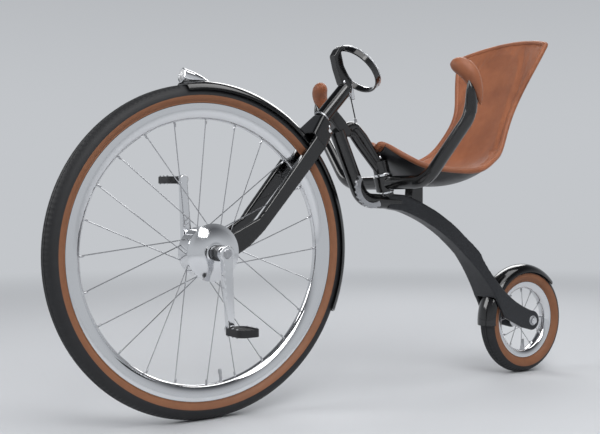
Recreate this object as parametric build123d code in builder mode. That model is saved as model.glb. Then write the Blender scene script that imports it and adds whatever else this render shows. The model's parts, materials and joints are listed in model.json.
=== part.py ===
from build123d import *
import math
import os

os.makedirs("parts", exist_ok=True)

# Directions: x is forward, y is to the rider's left, z is up; lengths in millimetres
# The origin is the rider's point on the seat pad; the head is the seam below the column
SEAT_BEHIND_HEAD = 333.0
SEAT_BELOW_HEAD = 143.0
PIVOT_AHEAD = 142.0
PIVOT_BELOW = 5.0
WHEELBASE = 988.0

# Clearances
RUNNING_FIT = 0.05
SOFT_GAP = 0.4
PRESS = 1.0
TYRE_GAP = 5.2

# Front wheel
FRONT_R = 360.0
TYRE_TALL = 41.0
TYRE_HALF = 25.0
FRONT_RIM_DEEP = 34.0
RIM_HALF = 16.5
HUB_DRUM_R = 56.0
HUB_HALF = 21.0
FLANGE_Y = 16.0
SPOKE_R = 1.2
FRONT_SPOKES = 24
SPOKE_LEAN = 34.0

# Rear wheel
REAR_R = 145.0
REAR_RIM_DEEP = 20.0
REAR_HUB_R = 24.0
REAR_HUB_HALF = 25.0
REAR_FLANGE_Y = 15.0
REAR_SPOKES = 12
REAR_SPOKE_LEAN = 22.0
REAR_AXLE_R = 6.0

# Fenders
FENDER_HALF = 31.0
FENDER_THICK = 2.4
FENDER_SKIRT = 20.0

# Steering column and fork
HEAD_TURN = 45.4
HEAD_ANGLE = 46.5
CROWN_TALL = 63.7
CROWN_TOP_HALF = 22.0
CROWN_DEEP = 36.0
CROWN_BACK = 5.0
COLUMN_R = 18.0
COLUMN_LONG = 103.0
HEAD_GAP = 1.0
STEERER_R = 13.0
STEERER_LONG = 55.0
LUG_HALF = 14.0
BLADE_IN = 30.0
BLADE_OUT = 46.0
FOOT_IN = 26.0
FOOT_OUT = 33.0
FOOT_R = 24.0
HOLLOW_AXLE_R = 15.0
CAP_R = 62.0
RIGHT_CAP_R = 48.0
CAP_FACE = 46.0

# Bracket and holder ring on the column's top
BRACKET_HALF = 11.0
STRIP_HALF = 8.0
RING_R = 62.4
RING_WALL = 4.5
RING_DEEP = 15.0
RING_ANGLE = 43.6
BEZEL_TALL = 3.0

# Lamp
LAMP_R = 15.5
LAMP_AHEAD = 56.0
LAMP_TAIL_BACK = 10.0

# Cranks and pedals
SPINDLE_R = 10.0
COLLAR_R = 14.5
COLLAR_RIB = 2.0
COLLAR_RIBS = 5
CRANK_IN = 80.0
CRANK_OUT = 95.0
CRANK_LONG = 158.0
CRANK_LEAN = 3.5
CRANK_EYE_R = 17.0
CRANK_TIP_R = 11.0
PEDAL_PIN_R = 6.0
PEDAL_IN = 101.0
PEDAL_OUT = 172.0
PEDAL_HALF_LONG = 25.0
PEDAL_HALF_THICK = 8.0
PEDAL_FLOOR = 6.0

# Frame tubes
UPPER_TUBE_R = 12.0
INNER_TUBE_R = 10.0
LOWER_TUBE_R = 18.0
SECTOR_R = 48.0
SECTOR_WIDE = 10.0
SECTOR_TEETH = 25
TOOTH_TALL = 3.0
SECTOR_IN = 16.0
SECTOR_OUT = 24.0

# Handlebar and its post
POST_LEAN = 16.5
POST_R = 20.0
POST_LONG = 38.0
PIVOT_R = 9.0
PIVOT_GAP = 1.0
STUB_R = 17.0
STUB_LONG = 30.0
BAR_HUB_R = 24.0
BAR_HUB_HALF = 18.0
BAR_R = 17.0
BAR_TIP_R = 14.0
BAR_LEAN = 4.5
BAR_BEND_R = 95.0
GRIP_R = 18.0
GRIP_CORE_R = 8.0
GRIP_CORE_LONG = 35.0
GRIP_BEND_R = 30.0

# Seat
PAD_THICK = 10.0
SHELL_THICK = 5.0
RIM_SHARE = 0.8
SEAT_BRACKET_HALF = 14.0

# Boom
ARM_OUT = 43.0
DROPOUT_R = 27.0
AXLE_END = 49.0

# Radii that follow from the sizes above
FRONT_LIP_R = FRONT_R - TYRE_TALL
FRONT_RIM_IN = FRONT_LIP_R - FRONT_RIM_DEEP
REAR_LIP_R = REAR_R - TYRE_TALL
REAR_RIM_IN = REAR_LIP_R - REAR_RIM_DEEP
FRONT_FENDER_R = FRONT_R + TYRE_GAP + FENDER_THICK
REAR_FENDER_R = REAR_R + TYRE_GAP + FENDER_THICK


def tilted(degrees):
    """Side-view unit vector: forward share is the sine, upward share is the cosine."""
    turn = math.radians(degrees)
    return Vector(math.sin(turn), 0, math.cos(turn))


# Datum points of the bicycle
HEAD = Vector(SEAT_BEHIND_HEAD, 0, SEAT_BELOW_HEAD)
HEAD_UP = tilted(HEAD_ANGLE - 90.0)
FRONT_HUB = HEAD - tilted(-HEAD_TURN) * (FRONT_FENDER_R + CROWN_TALL)
GROUND_Z = FRONT_HUB.Z - FRONT_R
REAR_HUB = Vector(FRONT_HUB.X - WHEELBASE, 0, GROUND_Z + REAR_R)
PIVOT = Vector(PIVOT_AHEAD, 0, -PIVOT_BELOW)
POST_UP = tilted(POST_LEAN)
FRONT_AXIS = Axis(FRONT_HUB, (0, 1, 0))
REAR_AXIS = Axis(REAR_HUB, (0, 1, 0))


def by(datum, points):
    """Side-view points given forward and up from a datum."""
    return [(datum.X + x, datum.Z + z) for x, z in points]


def between(start, end, rows):
    """Side-view points given as a share of the way between two datums and an offset across it."""
    way = end - start
    across = Vector(-way.Z, 0, way.X).normalized()
    spots = [start + way * share + across * offset for share, offset in rows]
    return [(spot.X, spot.Z) for spot in spots]


def side(y):
    """Side-view sketch plane at this y; an extrusion goes towards minus y."""
    return Plane.XZ.offset(-y)


def along(start, direction):
    """Plane at a point whose normal is the given direction and whose x is across."""
    return Plane(origin=start, x_dir=(0, 1, 0), z_dir=direction)


def across_at(hub, y):
    """Plane square to a wheel's axle at this y, looking to the left."""
    return Plane(origin=hub + Vector(0, y, 0), x_dir=(1, 0, 0), z_dir=(0, 1, 0))


def wheel_plane(hub, degrees):
    """Half-section plane of a wheel: local x is across, local y is outward at this angle."""
    return Plane(origin=hub, x_dir=(0, 1, 0), z_dir=Vector(0, 1, 0).cross(tilted(degrees)))


def mirrored(right):
    """Closed outline from its right half, top point last."""
    return right + [(-y, r) for y, r in reversed(right[:-1])]


def tyre_section(lip, outer):
    """Tyre outline as across and outward pairs, bead first."""
    rise = outer - lip
    return mirrored([
        (RIM_HALF - 2.8, lip - 6.0),
        (RIM_HALF + 1.5, lip + 0.4),
        (TYRE_HALF, lip + 0.42 * rise),
        (TYRE_HALF - 8.0, lip + 0.86 * rise),
        (0, outer),
    ])


def rim_section(lip, inner):
    """Deep rim outline as across and outward pairs, with the well that takes the bead."""
    depth = lip - inner
    right = [
        (RIM_HALF - 2.5, lip - 5.5),
        (RIM_HALF - 1.0, lip),
        (RIM_HALF, lip),
        (RIM_HALF - 1.0, lip - 0.5 * depth),
        (RIM_HALF - 10.0, inner),
    ]
    return right + [(-y, r) for y, r in reversed(right)]


# Front tyre
with BuildPart() as front_tyre:
    with BuildSketch(wheel_plane(FRONT_HUB, 0)):
        Polygon(*tyre_section(FRONT_LIP_R, FRONT_R), align=None)
    revolve(axis=FRONT_AXIS)

# Front rim
with BuildPart() as front_rim:
    with BuildSketch(wheel_plane(FRONT_HUB, 0)):
        Polygon(*rim_section(FRONT_LIP_R, FRONT_RIM_IN), align=None)
    revolve(axis=FRONT_AXIS)

# Front hub shell, turning on the hollow axle
with BuildPart() as front_hub:
    with BuildSketch(across_at(FRONT_HUB, -HUB_HALF)):
        Circle(HUB_DRUM_R)
        Circle(HOLLOW_AXLE_R + RUNNING_FIT, mode=Mode.SUBTRACT)
    extrude(amount=2 * HUB_HALF)


def spoke_ends(hub, count, flange_r, flange_y, rim_r, lean):
    """Start and end points of a wheel's crossing spokes, from hub to rim."""
    ends = []
    for i in range(count):
        turn = 360.0 * i / count
        sign = 1 if i % 2 == 0 else -1
        cross = lean if (i // 2) % 2 == 0 else -lean
        deep = 0.0 if cross > 0 else 5.0
        start = hub + tilted(turn + cross) * flange_r + Vector(0, sign * (flange_y - deep), 0)
        end = hub + tilted(turn) * rim_r + Vector(0, sign * 1.5, 0)
        ends.append((start, end))
    return ends


# Front spokes, crossing in pairs
with BuildPart() as front_spokes:
    for start, end in spoke_ends(
        FRONT_HUB, FRONT_SPOKES, HUB_DRUM_R - 3.0, FLANGE_Y, FRONT_RIM_IN + 3.0, SPOKE_LEAN
    ):
        with BuildSketch(Plane(origin=start, z_dir=end - start)):
            RegularPolygon(SPOKE_R, 6)
        extrude(amount=(end - start).length)

# Rear tyre
with BuildPart() as rear_tyre:
    with BuildSketch(wheel_plane(REAR_HUB, 0)):
        Polygon(*tyre_section(REAR_LIP_R, REAR_R), align=None)
    revolve(axis=REAR_AXIS)

# Rear rim
with BuildPart() as rear_rim:
    with BuildSketch(wheel_plane(REAR_HUB, 0)):
        Polygon(*rim_section(REAR_LIP_R, REAR_RIM_IN), align=None)
    revolve(axis=REAR_AXIS)

# Rear hub shell, turning on the rear axle
with BuildPart() as rear_hub:
    with BuildSketch(wheel_plane(REAR_HUB, 0)):
        Polygon(
            (-REAR_HUB_HALF, REAR_AXLE_R + RUNNING_FIT),
            (-REAR_HUB_HALF, REAR_HUB_R - 8.0),
            (-REAR_FLANGE_Y - 4.0, REAR_HUB_R),
            (REAR_FLANGE_Y + 4.0, REAR_HUB_R),
            (REAR_HUB_HALF, REAR_HUB_R - 8.0),
            (REAR_HUB_HALF, REAR_AXLE_R + RUNNING_FIT),
            align=None,
        )
    revolve(axis=REAR_AXIS)

# Rear spokes
with BuildPart() as rear_spokes:
    for start, end in spoke_ends(
        REAR_HUB, REAR_SPOKES, REAR_HUB_R - 3.0, REAR_FLANGE_Y, REAR_RIM_IN + 3.0, REAR_SPOKE_LEAN
    ):
        with BuildSketch(Plane(origin=start, z_dir=end - start)):
            RegularPolygon(SPOKE_R, 6)
        extrude(amount=(end - start).length)

# Steering column with its bore and the lug that carries the frame tubes
LUG_SIDE = [(-15, -1), (-45, -33), (-71, -41), (-80, -28), (-62, -4), (-36, 20)]
with BuildPart() as column:
    with BuildSketch(along(HEAD + HEAD_UP * HEAD_GAP, HEAD_UP)):
        Circle(COLUMN_R)
    extrude(amount=COLUMN_LONG)
    with BuildSketch(side(LUG_HALF)):
        Polygon(*by(HEAD, LUG_SIDE), align=None)
    extrude(amount=2 * LUG_HALF)
    with BuildSketch(along(HEAD + HEAD_UP * HEAD_GAP, HEAD_UP)):
        Circle(STEERER_R + RUNNING_FIT)
    extrude(amount=STEERER_LONG + 3.0, mode=Mode.SUBTRACT)

# Fork crown with its steerer, shaped to the fender below
# Front outline of the fork: narrow at the seam, as wide as the blades below the crown
FORK_FRONT = Plane(origin=HEAD, x_dir=(0, 1, 0), z_dir=Vector(0, 1, 0).cross(HEAD_UP))
with BuildSketch(FORK_FRONT) as fork_front:
    Polygon(
        (-CROWN_TOP_HALF, 0),
        (CROWN_TOP_HALF, 0),
        (BLADE_OUT, -CROWN_TALL),
        (BLADE_OUT, -2 * FRONT_R),
        (-BLADE_OUT, -2 * FRONT_R),
        (-BLADE_OUT, -CROWN_TALL),
        align=None,
    )
FORK_AHEAD = FORK_FRONT.z_dir
with BuildPart() as crown:
    with BuildSketch(along(HEAD, -HEAD_UP)):
        with Locations((0, -CROWN_BACK)):
            Rectangle(2 * BLADE_OUT, CROWN_DEEP)
    extrude(amount=CROWN_TALL)
    extrude(fork_front.sketch, amount=FRONT_R, both=True, dir=FORK_AHEAD, mode=Mode.INTERSECT)
    fillet(crown.edges().filter_by(Axis(HEAD, HEAD_UP), tolerance=25).filter_by(GeomType.LINE), radius=7)
    with BuildSketch(across_at(FRONT_HUB, -2 * BLADE_OUT)):
        Circle(FRONT_FENDER_R - PRESS)
    extrude(amount=4 * BLADE_OUT, mode=Mode.SUBTRACT)
    with BuildSketch(along(HEAD - HEAD_UP * 10.0, HEAD_UP)):
        Circle(STEERER_R)
    extrude(amount=10.0 + STEERER_LONG)

# Blade outline: from the seam down the front edge, round the hub and up the rear edge
BLADE_TOP = by(HEAD, [(-15, -33), (12, -10), (50, -51)])
BLADE_FRONT = by(FRONT_HUB, [(-110, 72), (-66, 48), (-40, 34), (-12, FOOT_R)])
BLADE_REAR = by(FRONT_HUB, [(-12, -FOOT_R), (-60, -8), (-90, 12), (-112, 34), (-118, 40)])
BLADE_TIP = by(FRONT_HUB, [(FOOT_R - 6.0, 0)])[0]
# Blade plan: forward from the hub, inner y, outer y
BLADE_PLAN = [
    (HEAD.X - FRONT_HUB.X - 40.0, BLADE_IN, BLADE_OUT),
    (-125, BLADE_IN, BLADE_OUT),
    (-62, FOOT_IN, FOOT_OUT),
    (60, FOOT_IN, FOOT_OUT),
]


with BuildSketch(Plane.XZ) as blade_side:
    with BuildLine():
        Polyline(*BLADE_TOP, *BLADE_FRONT)
        ThreePointArc(BLADE_FRONT[-1], BLADE_TIP, BLADE_REAR[0])
        Polyline(*BLADE_REAR, BLADE_TOP[0])
    make_face()


def blade_plan(sign):
    """Plan outline of a fork blade on the left (1) or the right (-1)."""
    inner = [(x + FRONT_HUB.X, sign * y) for x, y, _ in BLADE_PLAN]
    outer = [(x + FRONT_HUB.X, sign * y) for x, _, y in reversed(BLADE_PLAN)]
    return inner + outer


# Left fork blade
with BuildPart() as blade_left:
    extrude(blade_side.sketch, amount=BLADE_OUT, both=True, dir=(0, 1, 0))
    extrude(fork_front.sketch, amount=2 * FRONT_R, both=True, dir=FORK_AHEAD, mode=Mode.INTERSECT)
    with BuildSketch(Plane.XY.offset(GROUND_Z)):
        Polygon(*blade_plan(1), align=None)
    extrude(amount=4 * FRONT_R, mode=Mode.INTERSECT)
    with BuildSketch(across_at(FRONT_HUB, 0)):
        Circle(HOLLOW_AXLE_R - RUNNING_FIT)
    extrude(amount=BLADE_OUT, mode=Mode.SUBTRACT)

# Right fork blade
with BuildPart() as blade_right:
    extrude(blade_side.sketch, amount=BLADE_OUT, both=True, dir=(0, 1, 0))
    extrude(fork_front.sketch, amount=2 * FRONT_R, both=True, dir=FORK_AHEAD, mode=Mode.INTERSECT)
    with BuildSketch(Plane.XY.offset(GROUND_Z)):
        Polygon(*blade_plan(-1), align=None)
    extrude(amount=4 * FRONT_R, mode=Mode.INTERSECT)
    with BuildSketch(across_at(FRONT_HUB, -BLADE_OUT)):
        Circle(HOLLOW_AXLE_R - RUNNING_FIT)
    extrude(amount=BLADE_OUT, mode=Mode.SUBTRACT)

# Hollow front axle held by both blades
with BuildPart() as hub_axle:
    with BuildSketch(across_at(FRONT_HUB, -CAP_FACE - PRESS)):
        Circle(HOLLOW_AXLE_R)
        Circle(SPINDLE_R + RUNNING_FIT, mode=Mode.SUBTRACT)
    extrude(amount=2 * (CAP_FACE + PRESS))


def cap_section(sign, outer):
    """Half-section of a domed hub cover on the left (1) or the right (-1)."""
    rows = [
        (FOOT_OUT - PRESS, HOLLOW_AXLE_R - RUNNING_FIT),
        (FOOT_OUT - PRESS, outer),
        (FOOT_OUT + 3.0, outer),
        (FOOT_OUT + 7.0, outer - 8.0),
        (CAP_FACE - 2.0, outer - 26.0),
        (CAP_FACE, HOLLOW_AXLE_R + 4.0),
        (CAP_FACE, HOLLOW_AXLE_R - RUNNING_FIT),
    ]
    return [(sign * y, r) for y, r in rows]


# Left domed hub cover
with BuildPart() as hub_cap_left:
    with BuildSketch(wheel_plane(FRONT_HUB, 0)):
        Polygon(*cap_section(1, CAP_R), align=None)
    revolve(axis=FRONT_AXIS)

# Right domed hub cover
with BuildPart() as hub_cap_right:
    with BuildSketch(wheel_plane(FRONT_HUB, 0)):
        Polygon(*cap_section(-1, RIGHT_CAP_R), align=None)
    revolve(axis=FRONT_AXIS)


def fender_section(outer):
    """Fender outline as across and outward pairs: an arched strip with skirts."""
    # Columns: across, drop below the crest
    upper = [(FENDER_HALF, FENDER_SKIRT), (FENDER_HALF - 2.0, 10.0), (FENDER_HALF - 11.0, 3.0), (0, 0)]
    thick = FENDER_THICK
    lower = [
        (FENDER_HALF - thick, FENDER_SKIRT),
        (FENDER_HALF - 2.0 - thick, 10.0 + 0.4 * thick),
        (FENDER_HALF - 11.0 - 0.5 * thick, 3.0 + thick),
        (0, thick),
    ]
    ring = mirrored([(y, outer - drop) for y, drop in upper])
    back = mirrored([(-y, outer - drop) for y, drop in lower])
    return ring + back


# Front fender, from the lamp over the top and down behind
with BuildPart() as front_fender:
    with BuildSketch(wheel_plane(FRONT_HUB, -114.0)):
        Polygon(*fender_section(FRONT_FENDER_R), align=None)
    revolve(axis=FRONT_AXIS, revolution_arc=123.0)

# Rear fender, from behind the top to the flap in front
with BuildPart() as rear_fender:
    with BuildSketch(wheel_plane(REAR_HUB, -45.0)):
        Polygon(*fender_section(REAR_FENDER_R), align=None)
    revolve(axis=REAR_AXIS, revolution_arc=138.0)

LAMP_FRONT = FRONT_HUB + Vector(LAMP_AHEAD, 0, FRONT_FENDER_R + 8.0)
LAMP_TAIL = FRONT_HUB + Vector(-LAMP_TAIL_BACK, 0, FRONT_FENDER_R - 4.0)
LAMP_LONG = (LAMP_FRONT - LAMP_TAIL).length
LAMP_PLANE = Plane(origin=LAMP_TAIL, x_dir=LAMP_FRONT - LAMP_TAIL, z_dir=(0, -1, 0))
LAMP_AXIS = Axis(LAMP_TAIL, LAMP_FRONT - LAMP_TAIL)

# Lamp housing, a teardrop on the fender
with BuildPart() as lamp_housing:
    with BuildSketch(LAMP_PLANE):
        with BuildLine():
            Polyline((0, 0), (0, 3.0), (0.3 * LAMP_LONG, 9.5), (0.65 * LAMP_LONG, 14.0), (LAMP_LONG, LAMP_R))
            Polyline((LAMP_LONG, LAMP_R), (LAMP_LONG, 0), (0, 0))
        make_face()
    revolve(axis=LAMP_AXIS)
    with BuildSketch(across_at(FRONT_HUB, -2 * LAMP_R)):
        Circle(FRONT_FENDER_R - PRESS)
    extrude(amount=4 * LAMP_R, mode=Mode.SUBTRACT)

# Lamp lens
with BuildPart() as lamp_lens:
    with BuildSketch(LAMP_PLANE):
        Polygon(
            (LAMP_LONG - PRESS, 0),
            (LAMP_LONG - PRESS, LAMP_R - 1.5),
            (LAMP_LONG + 2.0, LAMP_R - 1.5),
            (LAMP_LONG + 5.0, LAMP_R - 7.0),
            (LAMP_LONG + 6.0, 0),
            align=None,
        )
    revolve(axis=LAMP_AXIS)

# Crank spindle with a ribbed collar on each side
COLLAR_FROM = CAP_FACE + 6.0
COLLAR_LONG = CRANK_IN + PRESS - COLLAR_FROM
RIB_PITCH = COLLAR_LONG / COLLAR_RIBS
with BuildPart() as crank_spindle:
    with BuildSketch(across_at(FRONT_HUB, -CRANK_OUT + 2.0)):
        Circle(SPINDLE_R)
    extrude(amount=2 * (CRANK_OUT - 2.0))
    for start in (COLLAR_FROM, -COLLAR_FROM - COLLAR_LONG):
        with BuildSketch(across_at(FRONT_HUB, start)):
            Circle(COLLAR_R)
        extrude(amount=COLLAR_LONG)
        for i in range(COLLAR_RIBS):
            with BuildSketch(across_at(FRONT_HUB, start + (i + 0.25) * RIB_PITCH)):
                Circle(COLLAR_R + COLLAR_RIB)
            extrude(amount=0.5 * RIB_PITCH)


def crank_tip(sign):
    """Pedal axle point in the side view for the left (1) or the right (-1) crank."""
    spot = FRONT_HUB - tilted(CRANK_LEAN) * (sign * CRANK_LONG)
    return (spot.X, spot.Z)


HUB_SPOT = (FRONT_HUB.X, FRONT_HUB.Z)


def crank_outline(sign):
    """Draw a crank's two eyes and the tapered web between them on the current sketch."""
    tip = crank_tip(sign)
    with Locations(HUB_SPOT):
        Circle(CRANK_EYE_R)
    with Locations(tip):
        Circle(CRANK_TIP_R)
    Polygon(
        (HUB_SPOT[0] - 0.7 * CRANK_EYE_R, HUB_SPOT[1]),
        (HUB_SPOT[0] + 0.7 * CRANK_EYE_R, HUB_SPOT[1]),
        (tip[0] + 0.7 * CRANK_TIP_R, tip[1]),
        (tip[0] - 0.7 * CRANK_TIP_R, tip[1]),
        align=None,
    )


# Left crank with its pedal pin
with BuildPart() as crank_left:
    with BuildSketch(side(CRANK_OUT)):
        crank_outline(1)
    extrude(amount=CRANK_OUT - CRANK_IN)
    with BuildSketch(side(PEDAL_OUT - PEDAL_FLOOR)):
        with Locations(crank_tip(1)):
            Circle(PEDAL_PIN_R)
    extrude(amount=PEDAL_OUT - PEDAL_FLOOR - CRANK_IN)

# Right crank with its pedal pin
with BuildPart() as crank_right:
    with BuildSketch(side(-CRANK_IN)):
        crank_outline(-1)
    extrude(amount=CRANK_OUT - CRANK_IN)
    with BuildSketch(side(-CRANK_IN)):
        with Locations(crank_tip(-1)):
            Circle(PEDAL_PIN_R)
    extrude(amount=PEDAL_OUT - PEDAL_FLOOR - CRANK_IN)

# Left pedal
with BuildPart() as pedal_left:
    with BuildSketch(side(PEDAL_OUT)):
        with Locations(crank_tip(1)):
            RectangleRounded(2 * PEDAL_HALF_LONG, 2 * PEDAL_HALF_THICK, 6)
    extrude(amount=PEDAL_OUT - PEDAL_IN)
    with BuildSketch(side(PEDAL_OUT - PEDAL_FLOOR + 1.0)):
        with Locations(crank_tip(1)):
            Circle(PEDAL_PIN_R + RUNNING_FIT)
    extrude(amount=PEDAL_OUT, mode=Mode.SUBTRACT)

# Right pedal
with BuildPart() as pedal_right:
    with BuildSketch(side(-PEDAL_IN)):
        with Locations(crank_tip(-1)):
            RectangleRounded(2 * PEDAL_HALF_LONG, 2 * PEDAL_HALF_THICK, 6)
    extrude(amount=PEDAL_OUT - PEDAL_IN)
    with BuildSketch(side(-PEDAL_IN)):
        with Locations(crank_tip(-1)):
            Circle(PEDAL_PIN_R + RUNNING_FIT)
    extrude(amount=PEDAL_OUT - PEDAL_FLOOR + 1.0 - PEDAL_IN, mode=Mode.SUBTRACT)

# Bent bracket on the column's top, points forward and up from the column's top
COLUMN_TOP = HEAD + HEAD_UP * (HEAD_GAP + COLUMN_LONG)
BRACKET_SIDE = [
    (-8, -15), (19, 9), (33, 44), (41, 74), (31, 90), (18, 99), (6, 97), (21, 82.5), (13, 52), (-1, 30), (-13, 2),
]
with BuildPart() as bracket:
    with BuildSketch(side(BRACKET_HALF)):
        Polygon(*by(COLUMN_TOP, BRACKET_SIDE), align=None)
    extrude(amount=2 * BRACKET_HALF)

# Bright strip up the back of the column and the bracket
STRIP_SIDE = [(9, 42), (-13, 22), (-23, -26), (-9, -20), (4, 0)]
with BuildPart() as bracket_strip:
    with BuildSketch(side(STRIP_HALF)):
        Polygon(*by(COLUMN_TOP, STRIP_SIDE), align=None)
    extrude(amount=2 * STRIP_HALF)

RING_UP = tilted(RING_ANGLE - 90.0)
RING_CENTRE = COLUMN_TOP + Vector(-36, 0, 52)

# Open holder ring facing the rider
with BuildPart() as holder_ring:
    with BuildSketch(along(RING_CENTRE - RING_UP * RING_DEEP, RING_UP)):
        Circle(RING_R + 0.5 * RING_WALL)
        Circle(RING_R - 0.5 * RING_WALL, mode=Mode.SUBTRACT)
    extrude(amount=RING_DEEP)

# Bright bezel on the ring's rim
with BuildPart() as ring_bezel:
    with BuildSketch(along(RING_CENTRE - RING_UP * PRESS, RING_UP)):
        Circle(RING_R + 0.5 * RING_WALL + 1.5)
        Circle(RING_R - 0.5 * RING_WALL + 1.5, mode=Mode.SUBTRACT)
    extrude(amount=BEZEL_TALL)

# Tube routes between the head and the pivot: share of the way, offset across it
UPPER_ROUTE = between(HEAD, PIVOT, [(0.271, -21.6), (0.332, -48.3), (0.501, -44.5), (0.86, -23.5)])
INNER_ROUTE = between(HEAD, PIVOT, [(0.291, -15.3), (0.365, -31.6), (0.514, -24.2), (0.914, -10.5)])
LOWER_ROUTE = between(HEAD, PIVOT, [(0.216, -6.2), (0.88, 76.9), (1.257, 11.4)])


def tube(route, radius, bend):
    """Return a round tube's section and its side-view path with rounded bends."""
    with BuildLine(Plane.XZ) as line:
        FilletPolyline(*route, radius=bend)
    with BuildSketch(Plane(origin=line.line @ 0, z_dir=line.line % 0)) as section:
        Circle(radius)
    return section.sketch, line.line


# Twin arched top tubes from the lug to the post
with BuildPart() as arch:
    sweep(*tube(UPPER_ROUTE, UPPER_TUBE_R, 22.0))
    sweep(*tube(INNER_ROUTE, INNER_TUBE_R, 18.0))

# Lower tube that curves under the pivot, with the stub that carries the pivot
with BuildPart() as lower_tube:
    sweep(*tube(LOWER_ROUTE, LOWER_TUBE_R, 48.0))
    with BuildSketch(along(PIVOT - POST_UP * (BAR_HUB_HALF + PIVOT_GAP + STUB_LONG), POST_UP)):
        Circle(STUB_R)
    extrude(amount=STUB_LONG)

# Toothed sector on the left of the lower tube, open towards the handlebar
SECTOR_OPEN = [(0, 0), (100, 62), (100, 150), (-150, 150), (-150, -150), (-58, -100)]
SECTOR_CENTRE = between(HEAD, PIVOT, [(0.851, 41.8)])[0]
with BuildPart() as toothed_sector:
    with BuildSketch(side(SECTOR_OUT)):
        with Locations(SECTOR_CENTRE):
            Circle(SECTOR_R)
            with PolarLocations(SECTOR_R, SECTOR_TEETH):
                Rectangle(2 * TOOTH_TALL, 5.0)
            Circle(SECTOR_R - SECTOR_WIDE, mode=Mode.SUBTRACT)
            Polygon(*SECTOR_OPEN, align=None, mode=Mode.SUBTRACT)
    extrude(amount=SECTOR_OUT - SECTOR_IN)

# Post above the handlebar's pivot, with the pivot pin
with BuildPart() as post:
    with BuildSketch(along(PIVOT + POST_UP * (BAR_HUB_HALF + PIVOT_GAP), POST_UP)):
        Circle(POST_R)
    extrude(amount=POST_LONG)
    with BuildSketch(along(PIVOT - POST_UP * (BAR_HUB_HALF + 12.0), POST_UP)):
        Circle(PIVOT_R)
    extrude(amount=2 * BAR_HUB_HALF + 20.0)

# Handlebar route: to the left and up from the pivot
BAR_TURNS = [(0, 0), (150, 0), (278, 140), (284, 180)]
BAR_PLANE = Plane(origin=PIVOT, x_dir=(0, 1, 0), z_dir=tilted(90.0 - BAR_LEAN))
BAR_END = BAR_PLANE.from_local_coords(Vector(*BAR_TURNS[3], 0))
GRIP_UP = (BAR_END - BAR_PLANE.from_local_coords(Vector(*BAR_TURNS[2], 0))).normalized()

# Handlebar: a wide U under the seat, thinner towards the grips
with BuildPart() as handlebar:
    with BuildLine(BAR_PLANE) as bar_line:
        FilletPolyline(*BAR_TURNS, radius=[BAR_BEND_R, 0.6 * BAR_BEND_R])
    with BuildSketch(Plane(origin=bar_line.line @ 0, z_dir=bar_line.line % 0)):
        Circle(BAR_R)
    with BuildSketch(Plane(origin=bar_line.line @ 1, z_dir=bar_line.line % 1)):
        Circle(BAR_TIP_R)
    sweep(path=bar_line.line, multisection=True)
    with BuildSketch(Plane(origin=BAR_END - GRIP_UP * 5.0, z_dir=GRIP_UP)):
        Circle(GRIP_CORE_R)
    extrude(amount=5.0 + GRIP_CORE_LONG)
    mirror(about=Plane.XZ)
    with BuildSketch(along(PIVOT - POST_UP * BAR_HUB_HALF, POST_UP)):
        Circle(BAR_HUB_R)
    extrude(amount=2 * BAR_HUB_HALF)
    with BuildSketch(along(PIVOT - POST_UP * BAR_HUB_R * 2, POST_UP)):
        Circle(PIVOT_R + RUNNING_FIT)
    extrude(amount=BAR_HUB_R * 4, mode=Mode.SUBTRACT)

# Grip route: up from the end of the bar, then inward and a little forward
GRIP_BASE = BAR_END + GRIP_UP * SOFT_GAP
GRIP_IN = Vector(18, -46, 0)
GRIP_NORMAL = GRIP_IN.cross(GRIP_UP)
GRIP_PLANE = Plane(origin=GRIP_BASE, x_dir=GRIP_UP.cross(GRIP_NORMAL), z_dir=GRIP_NORMAL)
GRIP_TURNS = [(0, 0), (0, 58), (56, 76)]

# Left grip, bent inward at its top
with BuildPart() as grip_left:
    with BuildLine(GRIP_PLANE) as grip_line:
        FilletPolyline(*GRIP_TURNS, radius=GRIP_BEND_R)
    with BuildSketch(Plane(origin=GRIP_BASE, z_dir=GRIP_UP)):
        Circle(GRIP_R)
    sweep(path=grip_line.line)
    fillet(grip_left.faces().sort_by(Axis.Y)[0].edges(), radius=0.75 * GRIP_R)
    with BuildSketch(Plane(origin=GRIP_BASE, z_dir=GRIP_UP)):
        Circle(GRIP_CORE_R + SOFT_GAP)
    extrude(amount=GRIP_CORE_LONG + SOFT_GAP, mode=Mode.SUBTRACT)

# Right grip
with BuildPart() as grip_right:
    add(grip_left.part)
    mirror(about=Plane.XZ, mode=Mode.REPLACE)

# Seat stations from the nose to the top of the back
# Columns: floor x, floor z, rim x, rim z, half-width, all from the rider's point
SEAT_STATIONS = [
    (170, 86, 170, 92, 12),
    (140, 68, 140, 79, 20),
    (120, 54, 121, 64, 36),
    (102, 40, 104, 48, 60),
    (84, 25, 88, 33, 88),
    (50, 8, 52, 25, 130),
    (-5, 0, -5, 21, 149),
    (-52, 5, -50, 30, 150),
    (-102, 28, -90, 56, 150),
    (-145, 61, -132, 69, 134),
    (-177, 121, -168, 126, 106),
    (-208, 180, -201, 183, 93),
    (-234, 242, -221, 247, 115),
    (-267, 309, -248, 316, 141),
    (-292, 370, -267, 352, 147),
]


def seat_section(station, inner, outer):
    """Return a station's U between two depths below the rider's surface."""
    floor_x, floor_z, rim_x, rim_z, half = station
    rise = Vector(rim_x - floor_x, 0, rim_z - floor_z)
    plane = Plane(origin=(floor_x, 0, floor_z), x_dir=(0, 1, 0), z_dir=Vector(0, 1, 0).cross(rise))
    with BuildSketch(plane) as section:
        with BuildLine():
            wide = half + inner * RIM_SHARE
            upper = ThreePointArc((-wide, rise.length), (0, -inner), (wide, rise.length))
            wide = half + outer * RIM_SHARE
            lower = ThreePointArc((-wide, rise.length), (0, -outer), (wide, rise.length))
            Line(upper @ 0, lower @ 0)
            Line(upper @ 1, lower @ 1)
        make_face()
    return section.sketch


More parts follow.
